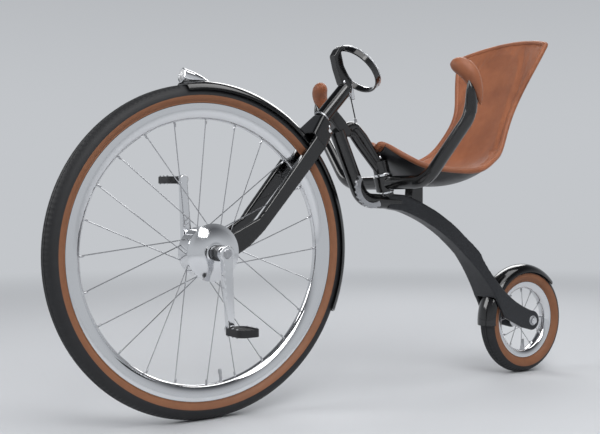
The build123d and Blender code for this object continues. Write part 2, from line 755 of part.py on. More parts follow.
# Leather seat pad
PAD_SECTIONS = [seat_section(row, 0.0, PAD_THICK) for row in SEAT_STATIONS]
with BuildPart() as seat_pad:
    loft(PAD_SECTIONS, ruled=True)

# Seat shell under and behind the pad
SHELL_FROM = PAD_THICK + SOFT_GAP
SHELL_SECTIONS = [seat_section(row, SHELL_FROM, SHELL_FROM + SHELL_THICK) for row in SEAT_STATIONS]
with BuildPart() as seat_shell:
    loft(SHELL_SECTIONS, ruled=True)

# Bracket between the shell and the boom
with BuildPart() as seat_bracket:
    with BuildSketch(side(SEAT_BRACKET_HALF)):
        Polygon((60, -0.5), (28, -9), (28, -65), (65, -52), align=None)
    extrude(amount=2 * SEAT_BRACKET_HALF)

# Boom edges between the pivot and the rear hub: share of the way, offset across it
BOOM_FRONT = between(PIVOT, REAR_HUB, [(0.129, 26.7), (0.064, 49.1), (0.028, 19.5), (0.096, -8.2)])
BOOM_CREST = between(PIVOT, REAR_HUB, [(0.356, -45.9), (0.57, -38.9), (0.795, -4.0)])
BOOM_BELLY = between(PIVOT, REAR_HUB, [(0.772, 32.6), (0.717, 20.0), (0.456, -9.0)])
DROPOUT = by(REAR_HUB, [(0, DROPOUT_R), (-DROPOUT_R, 0), (0, -DROPOUT_R), (38, -17), (108, 15)])
# Boom plan: share of the way, half-width
BOOM_PLAN = [(-0.02, 17), (0.3, 18), (0.53, 22), (0.72, ARM_OUT), (1.1, ARM_OUT)]

# Curved boom that forks round the rear wheel
with BuildPart() as boom:
    with BuildSketch(side(ARM_OUT)):
        with BuildLine():
            Polyline(*BOOM_FRONT)
            ThreePointArc(BOOM_FRONT[-1], BOOM_CREST[0], BOOM_CREST[1])
            ThreePointArc(BOOM_CREST[1], BOOM_CREST[2], DROPOUT[0])
            ThreePointArc(DROPOUT[0], DROPOUT[1], DROPOUT[2])
            Polyline(*DROPOUT[2:], BOOM_BELLY[0], BOOM_BELLY[1])
            ThreePointArc(BOOM_BELLY[1], BOOM_BELLY[2], BOOM_FRONT[0])
        make_face()
    extrude(amount=2 * ARM_OUT)
    with BuildSketch(Plane.XY.offset(GROUND_Z)):
        right = [(PIVOT.X + share * (REAR_HUB.X - PIVOT.X), y) for share, y in BOOM_PLAN]
        Polygon(*right, *[(x, -y) for x, y in reversed(right)], align=None)
    extrude(amount=4 * FRONT_R, mode=Mode.INTERSECT)
    with BuildSketch(across_at(REAR_HUB, -FENDER_HALF - PRESS)):
        Circle(REAR_FENDER_R - PRESS)
    extrude(amount=2 * (FENDER_HALF + PRESS), mode=Mode.SUBTRACT)
    with BuildSketch(across_at(REAR_HUB, -2 * ARM_OUT)):
        Circle(REAR_AXLE_R - RUNNING_FIT)
    extrude(amount=4 * ARM_OUT, mode=Mode.SUBTRACT)

# Rear axle held by the boom's arms
with BuildPart() as rear_axle:
    with BuildSketch(across_at(REAR_HUB, -AXLE_END)):
        Circle(REAR_AXLE_R)
    extrude(amount=2 * AXLE_END)

NODES = {
    "front_tyre": front_tyre, "front_rim": front_rim, "front_hub": front_hub, "front_spokes": front_spokes,
    "rear_tyre": rear_tyre, "rear_rim": rear_rim, "rear_hub": rear_hub, "rear_spokes": rear_spokes,
    "column": column, "crown": crown, "blade_left": blade_left, "blade_right": blade_right,
    "hub_axle": hub_axle, "hub_cap_left": hub_cap_left, "hub_cap_right": hub_cap_right,
    "front_fender": front_fender, "rear_fender": rear_fender, "lamp_housing": lamp_housing,
    "lamp_lens": lamp_lens, "crank_spindle": crank_spindle, "crank_left": crank_left,
    "crank_right": crank_right, "pedal_left": pedal_left, "pedal_right": pedal_right, "bracket": bracket,
    "bracket_strip": bracket_strip, "holder_ring": holder_ring, "ring_bezel": ring_bezel, "arch": arch,
    "lower_tube": lower_tube, "toothed_sector": toothed_sector, "post": post, "handlebar": handlebar,
    "seat_pad": seat_pad, "seat_shell": seat_shell, "seat_bracket": seat_bracket, "boom": boom,
    "rear_axle": rear_axle, "grip_left": grip_left, "grip_right": grip_right,
}

for name, built in NODES.items():
    built.part.label = name
    export_step(built.part, f"parts/{name}.step")
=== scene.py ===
"""Dressed scene of a recumbent bicycle with a large pedalled front wheel and a tub seat."""

import json
import logging
import math
from contextlib import contextmanager
from dataclasses import dataclass, field
from enum import Enum
from typing import Callable, Iterator, NamedTuple, Sequence

import bpy
from mathutils import Euler, Matrix, Vector

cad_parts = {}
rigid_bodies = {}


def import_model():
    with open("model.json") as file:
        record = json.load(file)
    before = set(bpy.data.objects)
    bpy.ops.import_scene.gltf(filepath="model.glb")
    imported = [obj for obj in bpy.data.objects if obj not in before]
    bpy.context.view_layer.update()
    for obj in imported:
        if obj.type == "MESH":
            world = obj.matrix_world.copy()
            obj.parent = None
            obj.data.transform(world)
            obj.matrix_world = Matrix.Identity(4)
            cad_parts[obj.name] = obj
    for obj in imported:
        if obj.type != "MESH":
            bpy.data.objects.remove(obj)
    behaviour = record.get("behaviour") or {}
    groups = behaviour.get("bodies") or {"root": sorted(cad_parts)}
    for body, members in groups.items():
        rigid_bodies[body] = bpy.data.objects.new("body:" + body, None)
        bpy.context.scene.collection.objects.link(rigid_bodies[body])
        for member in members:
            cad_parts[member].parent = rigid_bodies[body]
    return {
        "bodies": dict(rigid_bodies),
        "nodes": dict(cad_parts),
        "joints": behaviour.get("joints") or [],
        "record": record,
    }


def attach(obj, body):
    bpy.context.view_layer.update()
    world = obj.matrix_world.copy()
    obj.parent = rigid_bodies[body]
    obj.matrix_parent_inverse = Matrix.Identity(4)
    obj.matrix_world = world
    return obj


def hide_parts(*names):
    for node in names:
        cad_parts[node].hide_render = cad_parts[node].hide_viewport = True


LOG = logging.getLogger("bicycle")

MM = 0.001
FULL_TURN = 360.0
# Points nearer than this are merged
MERGE = 0.01 * MM
# A place beyond every flank
CLEAR = 0.2
LEFT = Vector((0.0, 1.0, 0.0))
UP = Vector((0.0, 0.0, 1.0))
WALL = "#C3C6CA"

Pair = tuple[float, float]
Point = tuple[float, float, float]
Piece = bpy.types.Object
Node = bpy.types.Node
Tree = bpy.types.NodeTree


class Slot(Enum):
    """Material slots of the record."""

    GLOSS_BLACK = "gloss_black"
    SATIN_BOOM = "satin_boom"
    CHROME = "chrome"
    STEEL = "steel"
    LEATHER = "leather"
    SHELL = "shell"
    TYRE = "tyre"
    PEDAL = "pedal"
    LENS = "lens"


class Body(Enum):
    """Moving bodies of the bicycle."""

    FRAME = "frame"
    FORK = "fork"
    BAR = "handlebar_body"
    FRONT_WHEEL = "front_wheel"
    CRANKS = "crankset"
    LEFT_PEDAL = "left_pedal"
    RIGHT_PEDAL = "right_pedal"
    REAR_WHEEL = "rear_wheel"


class Side(Enum):
    """Left and right of the bicycle, as the sign of y."""

    LEFT = 1
    RIGHT = -1

    @property
    def label(self) -> str:
        """Return the side's name as the pieces carry it."""
        return self.name.lower()

    @property
    def outward(self) -> Vector:
        """Return the direction away from the bicycle's middle."""
        return LEFT * self.value


def linear(code: str) -> tuple[float, float, float, float]:
    """Turn an sRGB hex colour into a linear colour.

    Args:
        code: Six hex digits after a hash sign.

    Returns:
        Linear red, green, blue and alpha.
    """
    parts = []
    for start in (1, 3, 5):
        value = int(code[start:start + 2], 16) / 255.0
        parts.append(value / 12.92 if value <= 0.04045 else ((value + 0.055) / 1.055) ** 2.4)
    return (parts[0], parts[1], parts[2], 1.0)


def per_mm(size: float) -> float:
    """Return the texture scale whose features are about this many millimetres wide."""
    return 1.0 / (size * MM)


def live_output(node: Node) -> bpy.types.NodeSocket:
    """Return the first output that a node's settings leave in use."""
    return next(socket for socket in node.outputs if socket.enabled)


def add_node(tree: Tree, kind: str, inputs: dict | None = None, **settings: object) -> Node:
    """Add a node with its settings and links.

    Args:
        tree: Node tree that takes the node.
        kind: Blender's shader node type without its prefix.
        inputs: Values, nodes or output sockets by input name or number.
        settings: Properties of the node itself.

    Returns:
        The new node.
    """
    node = tree.nodes.new(f"ShaderNode{kind}")
    for key, value in settings.items():
        setattr(node, key, value)
    for key, value in (inputs or {}).items():
        if isinstance(value, bpy.types.Node):
            value = live_output(value)
        if isinstance(value, bpy.types.NodeSocket):
            tree.links.new(value, node.inputs[key])
        else:
            node.inputs[key].default_value = value
    return node


def rays_to_eye(tree: Tree) -> Node:
    """Pick out the rays that show a surface straight, mirrored or through glass.

    Args:
        tree: Node tree that takes the nodes.

    Returns:
        Node that gives 1 for such rays and 0 for the light on the object.
    """
    path = add_node(tree, "LightPath")
    mirror = add_node(tree, "Math", {
        0: path.outputs["Is Camera Ray"], 1: path.outputs["Is Glossy Ray"],
    }, operation="MAXIMUM")
    return add_node(tree, "Math", {0: mirror, 1: path.outputs["Is Transmission Ray"]}, operation="MAXIMUM")


@dataclass(frozen=True)
class Surface:
    """A material's nodes while its pattern is drawn."""

    tree: Tree
    shader: Node
    place: bpy.types.NodeSocket

    def drive(self, socket: str, source: Node) -> None:
        """Let a node drive one of the shader's sockets."""
        self.tree.links.new(live_output(source), self.shader.inputs[socket])

    def fix(self, socket: str, value: object) -> None:
        """Set one of the shader's sockets to a value."""
        self.shader.inputs[socket].default_value = value


@dataclass(frozen=True)
class Finish:
    """A finish: common material name, colour and the shader's plain values."""

    name: str
    colour: str
    roughness: float
    metallic: float = 0.0
    coat: float = 0.0

    def make(self) -> bpy.types.Material:
        """Build the material.

        Returns:
            The node material with this finish's pattern.
        """
        material = bpy.data.materials.new(self.name)
        material.use_nodes = True
        tree = material.node_tree
        tree.nodes.clear()
        shader = add_node(tree, "BsdfPrincipled", {
            "Base Color": linear(self.colour),
            "Roughness": self.roughness,
            "Metallic": self.metallic,
            "Coat Weight": self.coat,
            "Coat Roughness": 0.04,
        })
        add_node(tree, "OutputMaterial", {"Surface": shader})
        place = add_node(tree, "TexCoord").outputs["Object"]
        self.pattern(Surface(tree, shader, place))
        return material

    def pattern(self, on: Surface) -> None:
        """Leave the surface plain; each finish draws its own pattern."""

    def vary_roughness(self, on: Surface, size: float, spread: float) -> None:
        """Let the gloss wander over the surface.

        Args:
            on: The material's nodes.
            size: Width of the cloudy patches in millimetres.
            spread: How far the roughness rises above its base value.
        """
        cloud = add_node(on.tree, "TexNoise", {"Vector": on.place, "Scale": per_mm(size), "Detail": 4.0})
        on.drive("Roughness", add_node(on.tree, "MapRange", {
            "Value": cloud, "From Min": 0.3, "From Max": 0.75,
            "To Min": self.roughness, "To Max": self.roughness + spread,
        }))


@dataclass(frozen=True)
class SprayedEnamel(Finish):
    """Deep black enamel under clear lacquer: sharp reflections with a faint orange peel."""

    peel: float = 2.5

    def pattern(self, on: Surface) -> None:
        """Draw the lacquer's orange peel, coarser than the real one so that it shows, and its haze."""
        self.vary_roughness(on, 70.0, 0.10)
        peel = add_node(on.tree, "TexNoise", {"Vector": on.place, "Scale": per_mm(self.peel)})
        on.drive("Normal", add_node(on.tree, "Bump", {
            "Height": peel, "Strength": 0.03, "Distance": 0.2 * MM,
        }))


@dataclass(frozen=True)
class SatinPaint(Finish):
    """Satin metallic paint: soft broad highlights with a fine fleck."""

    fleck: float = 1.4
    fleck_colour: str = "#45474B"

    def pattern(self, on: Surface) -> None:
        """Draw the metal fleck, coarser than the real one so that it shows."""
        self.vary_roughness(on, 45.0, 0.12)
        fleck = add_node(on.tree, "TexNoise", {
            "Vector": on.place, "Scale": per_mm(self.fleck), "Detail": 2.0,
        })
        share = add_node(on.tree, "MapRange", {"Value": fleck, "From Min": 0.45, "From Max": 0.8})
        on.drive("Base Color", add_node(on.tree, "Mix", {
            0: share, 6: linear(self.colour), 7: linear(self.fleck_colour),
        }, data_type="RGBA"))


@dataclass(frozen=True)
class PolishedChrome(Finish):
    """Plated chrome: a bright mirror with faint smears left by the polishing cloth."""

    smear: float = 30.0

    def pattern(self, on: Surface) -> None:
        """Draw the cloth's smears."""
        self.vary_roughness(on, self.smear, 0.07)


@dataclass(frozen=True)
class BrushedSteel(Finish):
    """Brushed stainless steel: fine lines that stretch the highlights."""

    line: float = 1.2
    line_share: float = 0.06

    def pattern(self, on: Surface) -> None:
        """Draw the brush lines along the bicycle, coarser than the real ones so that they show."""
        on.fix("Anisotropic", 0.4)
        stretch = add_node(on.tree, "Mapping", {"Vector": on.place, "Scale": (self.line_share, 1.0, 1.0)})
        lines = add_node(on.tree, "TexNoise", {
            "Vector": stretch, "Scale": per_mm(self.line), "Detail": 3.0,
        })
        on.drive("Roughness", add_node(on.tree, "MapRange", {
            "Value": lines, "To Min": self.roughness - 0.08, "To Max": self.roughness + 0.12,
        }))


@dataclass(frozen=True)
class TannedLeather(Finish):
    """Waxed saddle leather: pebbled grain, cloudy tan and a soft sheen."""

    shade: str = "#8B5133"
    grain: float = 2.4
    cloud: float = 60.0

    def pattern(self, on: Surface) -> None:
        """Draw the tan's clouds and the grain's creases, coarser than the real ones so that they show; the
        creases also get painted shade that darkens the colour.
        """
        on.fix("Sheen Weight", 0.12)
        on.fix("Sheen Roughness", 0.4)
        self.vary_roughness(on, 18.0, 0.16)
        cloud = add_node(on.tree, "TexNoise", {
            "Vector": on.place, "Scale": per_mm(self.cloud), "Detail": 6.0, "Roughness": 0.65,
        })
        share = add_node(on.tree, "MapRange", {"Value": cloud, "From Min": 0.32, "From Max": 0.62})
        tone = add_node(on.tree, "Mix", {
            0: share, 6: linear(self.shade), 7: linear(self.colour),
        }, data_type="RGBA")
        pebble = add_node(on.tree, "TexVoronoi", {
            "Vector": on.place, "Scale": per_mm(self.grain),
        }, feature="DISTANCE_TO_EDGE")
        crease = add_node(on.tree, "MapRange", {"Value": pebble.outputs["Distance"], "From Max": 0.14})
        # painted shade: the leather's colour is darkened in the grain's creases
        crease_painted_shade = add_node(on.tree, "MapRange", {"Value": crease, "To Min": 0.82, "To Max": 1.0})
        on.drive("Base Color", add_node(on.tree, "Mix", {
            0: 1.0, 6: tone, 7: crease_painted_shade,
        }, data_type="RGBA", blend_type="MULTIPLY"))
        on.drive("Normal", add_node(on.tree, "Bump", {
            "Height": crease, "Strength": 0.35, "Distance": 0.5 * MM,
        }))


@dataclass(frozen=True)
class MouldedRubber(Finish):
    """Vulcanised tyre rubber: dull black with a tan sidewall and moulded sipes across the tread."""

    hub: Point = (0.0, 0.0, 0.0)
    dusty: str = "#202124"
    tan: str = "#8E5D3F"
    tan_shade: str = "#7B4F34"
    tan_from: float = 0.0
    tan_to: float = 1.0
    tread_from: float = 1.0
    sipes: float = 200.0
    dust: float = 14.0

    def pattern(self, on: Surface) -> None:
        """Draw the tan band by its distance from the axle, the sipes by their angle and the dust."""
        about = add_node(on.tree, "Mapping", {
            "Vector": on.place, "Scale": (1.0, 0.0, 1.0), "Location": (-self.hub[0], 0.0, -self.hub[2]),
        })
        radius = add_node(on.tree, "VectorMath", {0: about}, operation="LENGTH").outputs["Value"]
        outside = add_node(on.tree, "Math", {0: radius, 1: self.tan_from}, operation="GREATER_THAN")
        inside = add_node(on.tree, "Math", {0: radius, 1: self.tan_to}, operation="LESS_THAN")
        band = add_node(on.tree, "Math", {0: outside, 1: inside}, operation="MULTIPLY")
        dust = add_node(on.tree, "TexNoise", {
            "Vector": on.place, "Scale": per_mm(self.dust), "Detail": 5.0,
        })
        black = add_node(on.tree, "Mix", {
            0: dust, 6: linear(self.colour), 7: linear(self.dusty),
        }, data_type="RGBA")
        tan = add_node(on.tree, "Mix", {
            0: dust, 6: linear(self.tan_shade), 7: linear(self.tan),
        }, data_type="RGBA")
        tone = add_node(on.tree, "Mix", {0: band, 6: black, 7: tan}, data_type="RGBA")
        on.drive("Base Color", tone)
        parts = add_node(on.tree, "SeparateXYZ", {0: about})
        angle = add_node(on.tree, "Math", {
            0: parts.outputs["X"], 1: parts.outputs["Z"],
        }, operation="ARCTAN2")
        turns = add_node(on.tree, "Math", {0: angle, 1: self.sipes}, operation="MULTIPLY")
        wave = add_node(on.tree, "Math", {0: turns}, operation="SINE")
        crown = add_node(on.tree, "MapRange", {
            "Value": radius, "From Min": self.tread_from, "From Max": self.tread_from + 2.0 * MM,
        })
        sipe = add_node(on.tree, "Math", {0: wave, 1: crown}, operation="MULTIPLY")
        on.drive("Normal", add_node(on.tree, "Bump", {
            "Height": sipe, "Strength": 0.35, "Distance": 0.8 * MM,
        }))


@dataclass(frozen=True)
class MouldedPlastic(Finish):
    """Moulded polymer: dark, with a fine spark-eroded grain that softens the light."""

    grain: float = 1.6

    def pattern(self, on: Surface) -> None:
        """Draw the mould's grain, coarser than the real one so that it shows."""
        self.vary_roughness(on, 25.0, 0.12)
        grain = add_node(on.tree, "TexNoise", {
            "Vector": on.place, "Scale": per_mm(self.grain), "Detail": 2.0,
        })
        on.drive("Normal", add_node(on.tree, "Bump", {
            "Height": grain, "Strength": 0.15, "Distance": 0.3 * MM,
        }))


@dataclass(frozen=True)
class PressedGlass(Finish):
    """Pressed lamp glass: milky, with vertical flutes that spread the light."""

    flute: float = 2.4
    turn: float = 6.28

    def pattern(self, on: Surface) -> None:
        """Draw the flutes across the glass."""
        on.fix("Transmission Weight", 0.35)
        on.fix("IOR", 1.5)
        flutes = add_node(on.tree, "TexWave", {
            "Vector": on.place, "Scale": per_mm(self.flute) / self.turn,
        }, bands_direction="Y")
        on.drive("Normal", add_node(on.tree, "Bump", {
            "Height": flutes, "Strength": 0.3, "Distance": 0.5 * MM,
        }))


@dataclass(frozen=True)
class StudioPaper(Finish):
    """Rolled backdrop paper: matt and pale, running into the wall far from the bicycle."""

    near: float = 1.5
    far: float = 4.5

    def pattern(self, on: Surface) -> None:
        """Let the paper turn into the wall's own glow with its distance from the middle."""
        reach = add_node(on.tree, "VectorMath", {0: on.place}, operation="LENGTH")
        share = add_node(on.tree, "MapRange", {
            "Value": reach, "From Min": self.near, "From Max": self.far,
        }, interpolation_type="SMOOTHSTEP")
        on.drive("Base Color", add_node(on.tree, "Mix", {
            0: share, 6: linear(self.colour), 7: linear("#000000"),
        }, data_type="RGBA"))
        on.fix("Emission Color", linear(WALL))
        on.fix("Specular IOR Level", 0.0)
        on.drive("Emission Strength", add_node(on.tree, "Math", {
            0: share, 1: rays_to_eye(on.tree),
        }, operation="MULTIPLY"))


FINISHES: dict[Slot, Finish] = {
    Slot.GLOSS_BLACK: SprayedEnamel("enamel_sprayed_black", "#060607", 0.12, coat=0.6),
    Slot.SATIN_BOOM: SatinPaint("steel_satin_painted", "#232427", 0.3, metallic=0.35),
    Slot.CHROME: PolishedChrome("steel_chrome_plated", "#E2E3E5", 0.05, metallic=1.0),
    Slot.STEEL: BrushedSteel("stainless_steel_brushed", "#B4B5B8", 0.28, metallic=1.0),
    Slot.LEATHER: TannedLeather("leather_tanned_waxed", "#A2623F", 0.42),
    Slot.SHELL: MouldedPlastic("abs_moulded_satin", "#1B1B1D", 0.34),
    Slot.PEDAL: MouldedPlastic("nylon_moulded_black", "#17181A", 0.5),
    Slot.LENS: PressedGlass("glass_pressed_milky", "#F4F5F6", 0.1),
}


def start_clean() -> None:
    """Leave edit mode and deselect everything."""
    active = bpy.context.view_layer.objects.active
    if active is not None and active.mode != "OBJECT":
        bpy.ops.object.mode_set(mode="OBJECT")
    bpy.ops.object.select_all(action="DESELECT")


def pick(piece: Piece) -> None:
    """Select one piece alone and make it active."""
    start_clean()
    piece.select_set(True)
    bpy.context.view_layer.objects.active = piece


@contextmanager
def editing(piece: Piece) -> Iterator[None]:
    """Open a piece in edit mode with all of it selected, and close it again.

    Args:
        piece: Mesh object to edit.

    Returns:
        A context for the edit.
    """
    pick(piece)
    bpy.ops.object.mode_set(mode="EDIT")
    bpy.ops.mesh.select_all(action="SELECT")
    yield
    bpy.ops.object.mode_set(mode="OBJECT")


def select_where(piece: Piece, kind: str, test: Callable[..., bool]) -> None:
    """Select some edges or faces of the piece that is being edited.

    Args:
        piece: Mesh object in edit mode.
        kind: Either edges or polygons.
        test: Tells whether an edge or face is wanted.
    """
    bpy.ops.mesh.select_all(action="DESELECT")
    bpy.ops.object.mode_set(mode="OBJECT")
    for element in getattr(piece.data, kind):
        element.select = test(element)
    bpy.ops.object.mode_set(mode="EDIT")


def finish_with(piece: Piece, kind: str, **settings: object) -> None:
    """Add a modifier and apply it.

    Args:
        piece: Mesh object.
        kind: Blender's modifier type.
        settings: The modifier's values.
    """
    pick(piece)
    modifier = piece.modifiers.new(kind.lower(), kind)
    for key, value in settings.items():
        setattr(modifier, key, value)
    bpy.ops.object.modifier_apply(modifier=modifier.name)


def smooth(piece: Piece, degrees: float = 40.0) -> Piece:
    """Shade a piece smooth except at sharp edges.

    Args:
        piece: Mesh object.
        degrees: Edges sharper than this stay crisp.

    Returns:
        The same piece.
    """
    pick(piece)
    bpy.ops.object.shade_smooth_by_angle(angle=math.radians(degrees))
    return piece


def close_up(piece: Piece) -> None:
    """Merge double points and turn all faces outwards."""
    with editing(piece):
        bpy.ops.mesh.remove_doubles(threshold=MERGE)
        bpy.ops.mesh.normals_make_consistent(inside=False)


def join(pieces: Sequence[Piece], name: str) -> Piece:
    """Join pieces into the first one.

    Args:
        pieces: Mesh objects.
        name: Name of the joined piece.

    Returns:
        The joined piece.
    """
    start_clean()
    for piece in pieces:
        piece.select_set(True)
    bpy.context.view_layer.objects.active = pieces[0]
    if len(pieces) > 1:
        bpy.ops.object.join()
    pieces[0].name = name
    return pieces[0]


def copy_of(piece: Piece, name: str, place: Matrix | None = None) -> Piece:
    """Copy a piece, with a mesh of its own.

    Args:
        piece: Piece to copy.
        name: Name of the copy.
        place: Turn and place of the copy, where it has one.

    Returns:
        The copy.
    """
    copy = bpy.data.objects.new(name, piece.data.copy())
    bpy.context.scene.collection.objects.link(copy)
    if place is not None:
        copy.data.transform(place)
    return copy


def spread(model: Piece, places: Sequence[Matrix], name: str) -> Piece:
    """Copy a model to its places, take the model away and join the copies.

    Args:
        model: Piece at the origin.
        places: Turn and place of each copy.
        name: Name of the joined piece.

    Returns:
        The joined copies.
    """
    copies = [copy_of(model, name, place) for place in places]
    bpy.data.objects.remove(model)
    return join(copies, name)


def clock_hand(degrees: float) -> Vector:
    """Return the direction across a wheel at an angle from straight up, positive to the front."""
    turn = math.radians(degrees)
    return Vector((math.sin(turn), 0.0, math.cos(turn)))


def mirrored(rows: Sequence[Pair]) -> list[Pair]:
    """Return a closed outline from the rows of its one half."""
    return [*rows, *((-across, out) for across, out in reversed(rows))]


@dataclass(frozen=True)
class Lathe:
    """An axle on which closed outlines are turned, starting outward; a part turn gets capped ends."""

    hub: Vector
    axis: Vector
    outward: Vector
    steps: int
    degrees: float = FULL_TURN

    def turn(self, name: str, outline: Sequence[Pair]) -> Piece:
        """Turn a closed outline about the axle.

        Args:
            name: Name of the piece.
            outline: Pairs of millimetres along the axle and outward from it.

        Returns:
            The closed piece.
        """
        start_clean()
        fill = "NOTHING" if self.degrees >= FULL_TURN else "NGON"
        bpy.ops.mesh.primitive_circle_add(vertices=len(outline), radius=MM, fill_type=fill)
        piece = bpy.context.object
        piece.name = name
        for vertex, (run, out) in zip(piece.data.vertices, outline):
            vertex.co = self.hub + self.axis * (run * MM) + self.outward * (out * MM)
        with editing(piece):
            angle = -math.radians(self.degrees)
            bpy.ops.mesh.spin(steps=self.steps, angle=angle, center=self.hub, axis=self.axis)
            bpy.ops.mesh.select_mode(type="FACE")
            bpy.ops.mesh.select_all(action="DESELECT")
            bpy.ops.mesh.select_face_by_sides(number=4, type="GREATER")
            bpy.ops.mesh.quads_convert_to_tris(quad_method="BEAUTY", ngon_method="BEAUTY")
            bpy.ops.mesh.select_mode(type="VERT")
        close_up(piece)
        return smooth(piece)


def drawn_tube(
    name: str, points: Sequence[Vector], radii: Sequence[float], closed: bool = False, sides: int = 5
) -> Piece:
    """Draw a tube along a smooth curve.

    Args:
        name: Name of the piece.
        points: Control points, five or more.
        radii: Radius at each point in millimetres.
        closed: Whether the tube runs back into its start.
        sides: Bevel resolution of the section.

    Returns:
        The mesh piece.
    """
    start_clean()
    bpy.ops.curve.primitive_nurbs_path_add()
    piece = bpy.context.object
    piece.name = name
    spline = piece.data.splines[0]
    spline.points.add(len(points) - len(spline.points))
    for spot, place, radius in zip(spline.points, points, radii):
        spot.co = (*place, 1.0)
        spot.radius = radius
    spline.order_u = 4
    spline.use_endpoint_u = not closed
    spline.use_cyclic_u = closed
    spline.resolution_u = 6
    piece.data.bevel_depth = MM
    piece.data.bevel_resolution = sides
    piece.data.use_fill_caps = True
    bpy.ops.object.convert(target="MESH")
    piece = bpy.context.object
    close_up(piece)
    return smooth(piece, 60.0)


def hex_nut(name: str, spot: Vector, axis: Vector, radius: float, thick: float) -> Piece:
    """Model a domed hexagon nut that stands on a face.

    Args:
        name: Name of the piece.
        spot: Middle of the nut's foot.
        axis: Direction in which the nut stands up.
        radius: Corner radius in millimetres.
        thick: Height in millimetres.

    Returns:
        The nut.
    """
    start_clean()
    bpy.ops.mesh.primitive_cylinder_add(
        vertices=6, radius=radius * MM, depth=thick * MM, location=spot + axis * (0.5 * thick * MM),
        rotation=axis.to_track_quat("Z", "Y").to_euler(),
    )
    piece = bpy.context.object
    piece.name = name
    bpy.ops.object.transform_apply(location=True, rotation=True, scale=True)
    top = max(piece.data.polygons, key=lambda face: face.center.dot(axis)).index
    with editing(piece):
        select_where(piece, "polygons", lambda face: face.index == top)
        bpy.ops.mesh.inset(thickness=0.32 * radius * MM)
        bpy.ops.mesh.extrude_region_move(
            TRANSFORM_OT_translate={"value": tuple(axis * (0.28 * thick * MM)), "orient_type": "GLOBAL"}
        )
        bpy.ops.mesh.inset(thickness=0.12 * radius * MM)
    finish_with(piece, "BEVEL", width=0.09 * radius * MM, segments=2, limit_method="ANGLE")
    return smooth(piece, 35.0)


@dataclass
class Workshop:
    """The loaded frame, the finishes and the places that the pieces share."""

    frame: dict
    materials: dict = field(default_factory=dict)
    places: dict = field(default_factory=dict)
    axes: dict = field(default_factory=dict)

    def __post_init__(self) -> None:
        """Make the finishes and read the joints' places."""
        self.materials = {slot: finish.make() for slot, finish in FINISHES.items()}
        for joint in self.frame["joints"]:
            self.places[joint["name"]] = Vector(joint["pos_m"])
            self.axes[joint["name"]] = Vector(joint["axis"]).normalized()

    def node(self, name: str) -> Piece:
        """Return a CAD node's object."""
        return self.frame["nodes"][name]

    def paint(self, piece: Piece, material: bpy.types.Material) -> None:
        """Give a piece one material all over."""
        piece.data.materials.clear()
        piece.data.materials.append(material)

    def paint_nodes(self) -> None:
        """Give every CAD node the finish of its slot."""
        for row in self.frame["record"]["subparts"]:
            slot = Slot(row["material_slot"])
            if slot in self.materials:
                self.paint(self.node(row["node"]), self.materials[slot])

    def hand_over(
        self, piece: Piece, body: Body, slot: Slot, nodes: Sequence[str] = (),
        material: bpy.types.Material | None = None,
    ) -> Piece:
        """Paint a piece, set it on its body and let it stand for CAD nodes.

        Args:
            piece: The finished piece.
            body: Body that carries it.
            slot: Material slot of the record.
            nodes: CAD nodes that it replaces.
            material: Its own material where the slot's isn't right.

        Returns:
            The same piece.
        """
        self.paint(piece, material or self.materials[slot])
        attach(piece, body.value)
        if nodes:
            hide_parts(*nodes)
        LOG.info("piece %s on %s, %d faces", piece.name, body.value, len(piece.data.polygons))
        return piece

    def cast(
        self, name: str, nodes: Sequence[str], voxel: float, passes: int, body: Body, slot: Slot
    ) -> Piece:
        """Copy CAD nodes into one skin with rounded edges, as a casting has, and hand it over.

        Args:
            name: Name of the piece.
            nodes: CAD nodes that it is made of and replaces.
            voxel: Size of the skin's cells in millimetres.
            passes: Number of smoothing passes.
            body: Body that carries it.
            slot: Material slot of the record.

        Returns:
            The casting.
        """
        piece = join([copy_of(self.node(node), name) for node in nodes], name)
        piece.data.materials.clear()
        bpy.ops.mesh.customdata_custom_splitnormals_clear()
        with editing(piece):
            bpy.ops.mesh.remove_doubles(threshold=MERGE)
        finish_with(piece, "REMESH", mode="VOXEL", voxel_size=voxel * MM)
        finish_with(piece, "SMOOTH", factor=0.5, iterations=passes)
        return self.hand_over(smooth(piece, 60.0), body, slot, nodes)

    def bolt_pair(self, label: str, carrier: Piece, place: Pair, radius: float, body: Body) -> None:
        """Turn a round-headed bolt on each flank of a piece.

        Args:
            label: Start of the bolts' names.
            carrier: Piece that carries them.
            place: Millimetres forward and up from the rider's point.
            radius: Radius of the heads in millimetres.
            body: Body that carries them.

        Raises:
            ValueError: The carrier has no flank there.
        """
        rows = [
            (-1.5, 0.1), (-1.5, radius), (0.5, radius), (0.3 * radius, 0.86 * radius),
            (0.5 * radius, 0.5 * radius), (0.56 * radius, 0.1),
        ]
        for side in Side:
            start = Vector((place[0], 0.0, place[1])) * MM + side.outward * CLEAR
            found, seat, axis, _ = carrier.ray_cast(start, -side.outward)
            if not found:
                raise ValueError(f"{label} has no seat on {carrier.name}")
            bolt = Lathe(seat, axis, axis.cross(UP).normalized(), 28).turn(f"{label}_{side.label}", rows)
            self.hand_over(bolt, body, Slot.CHROME)


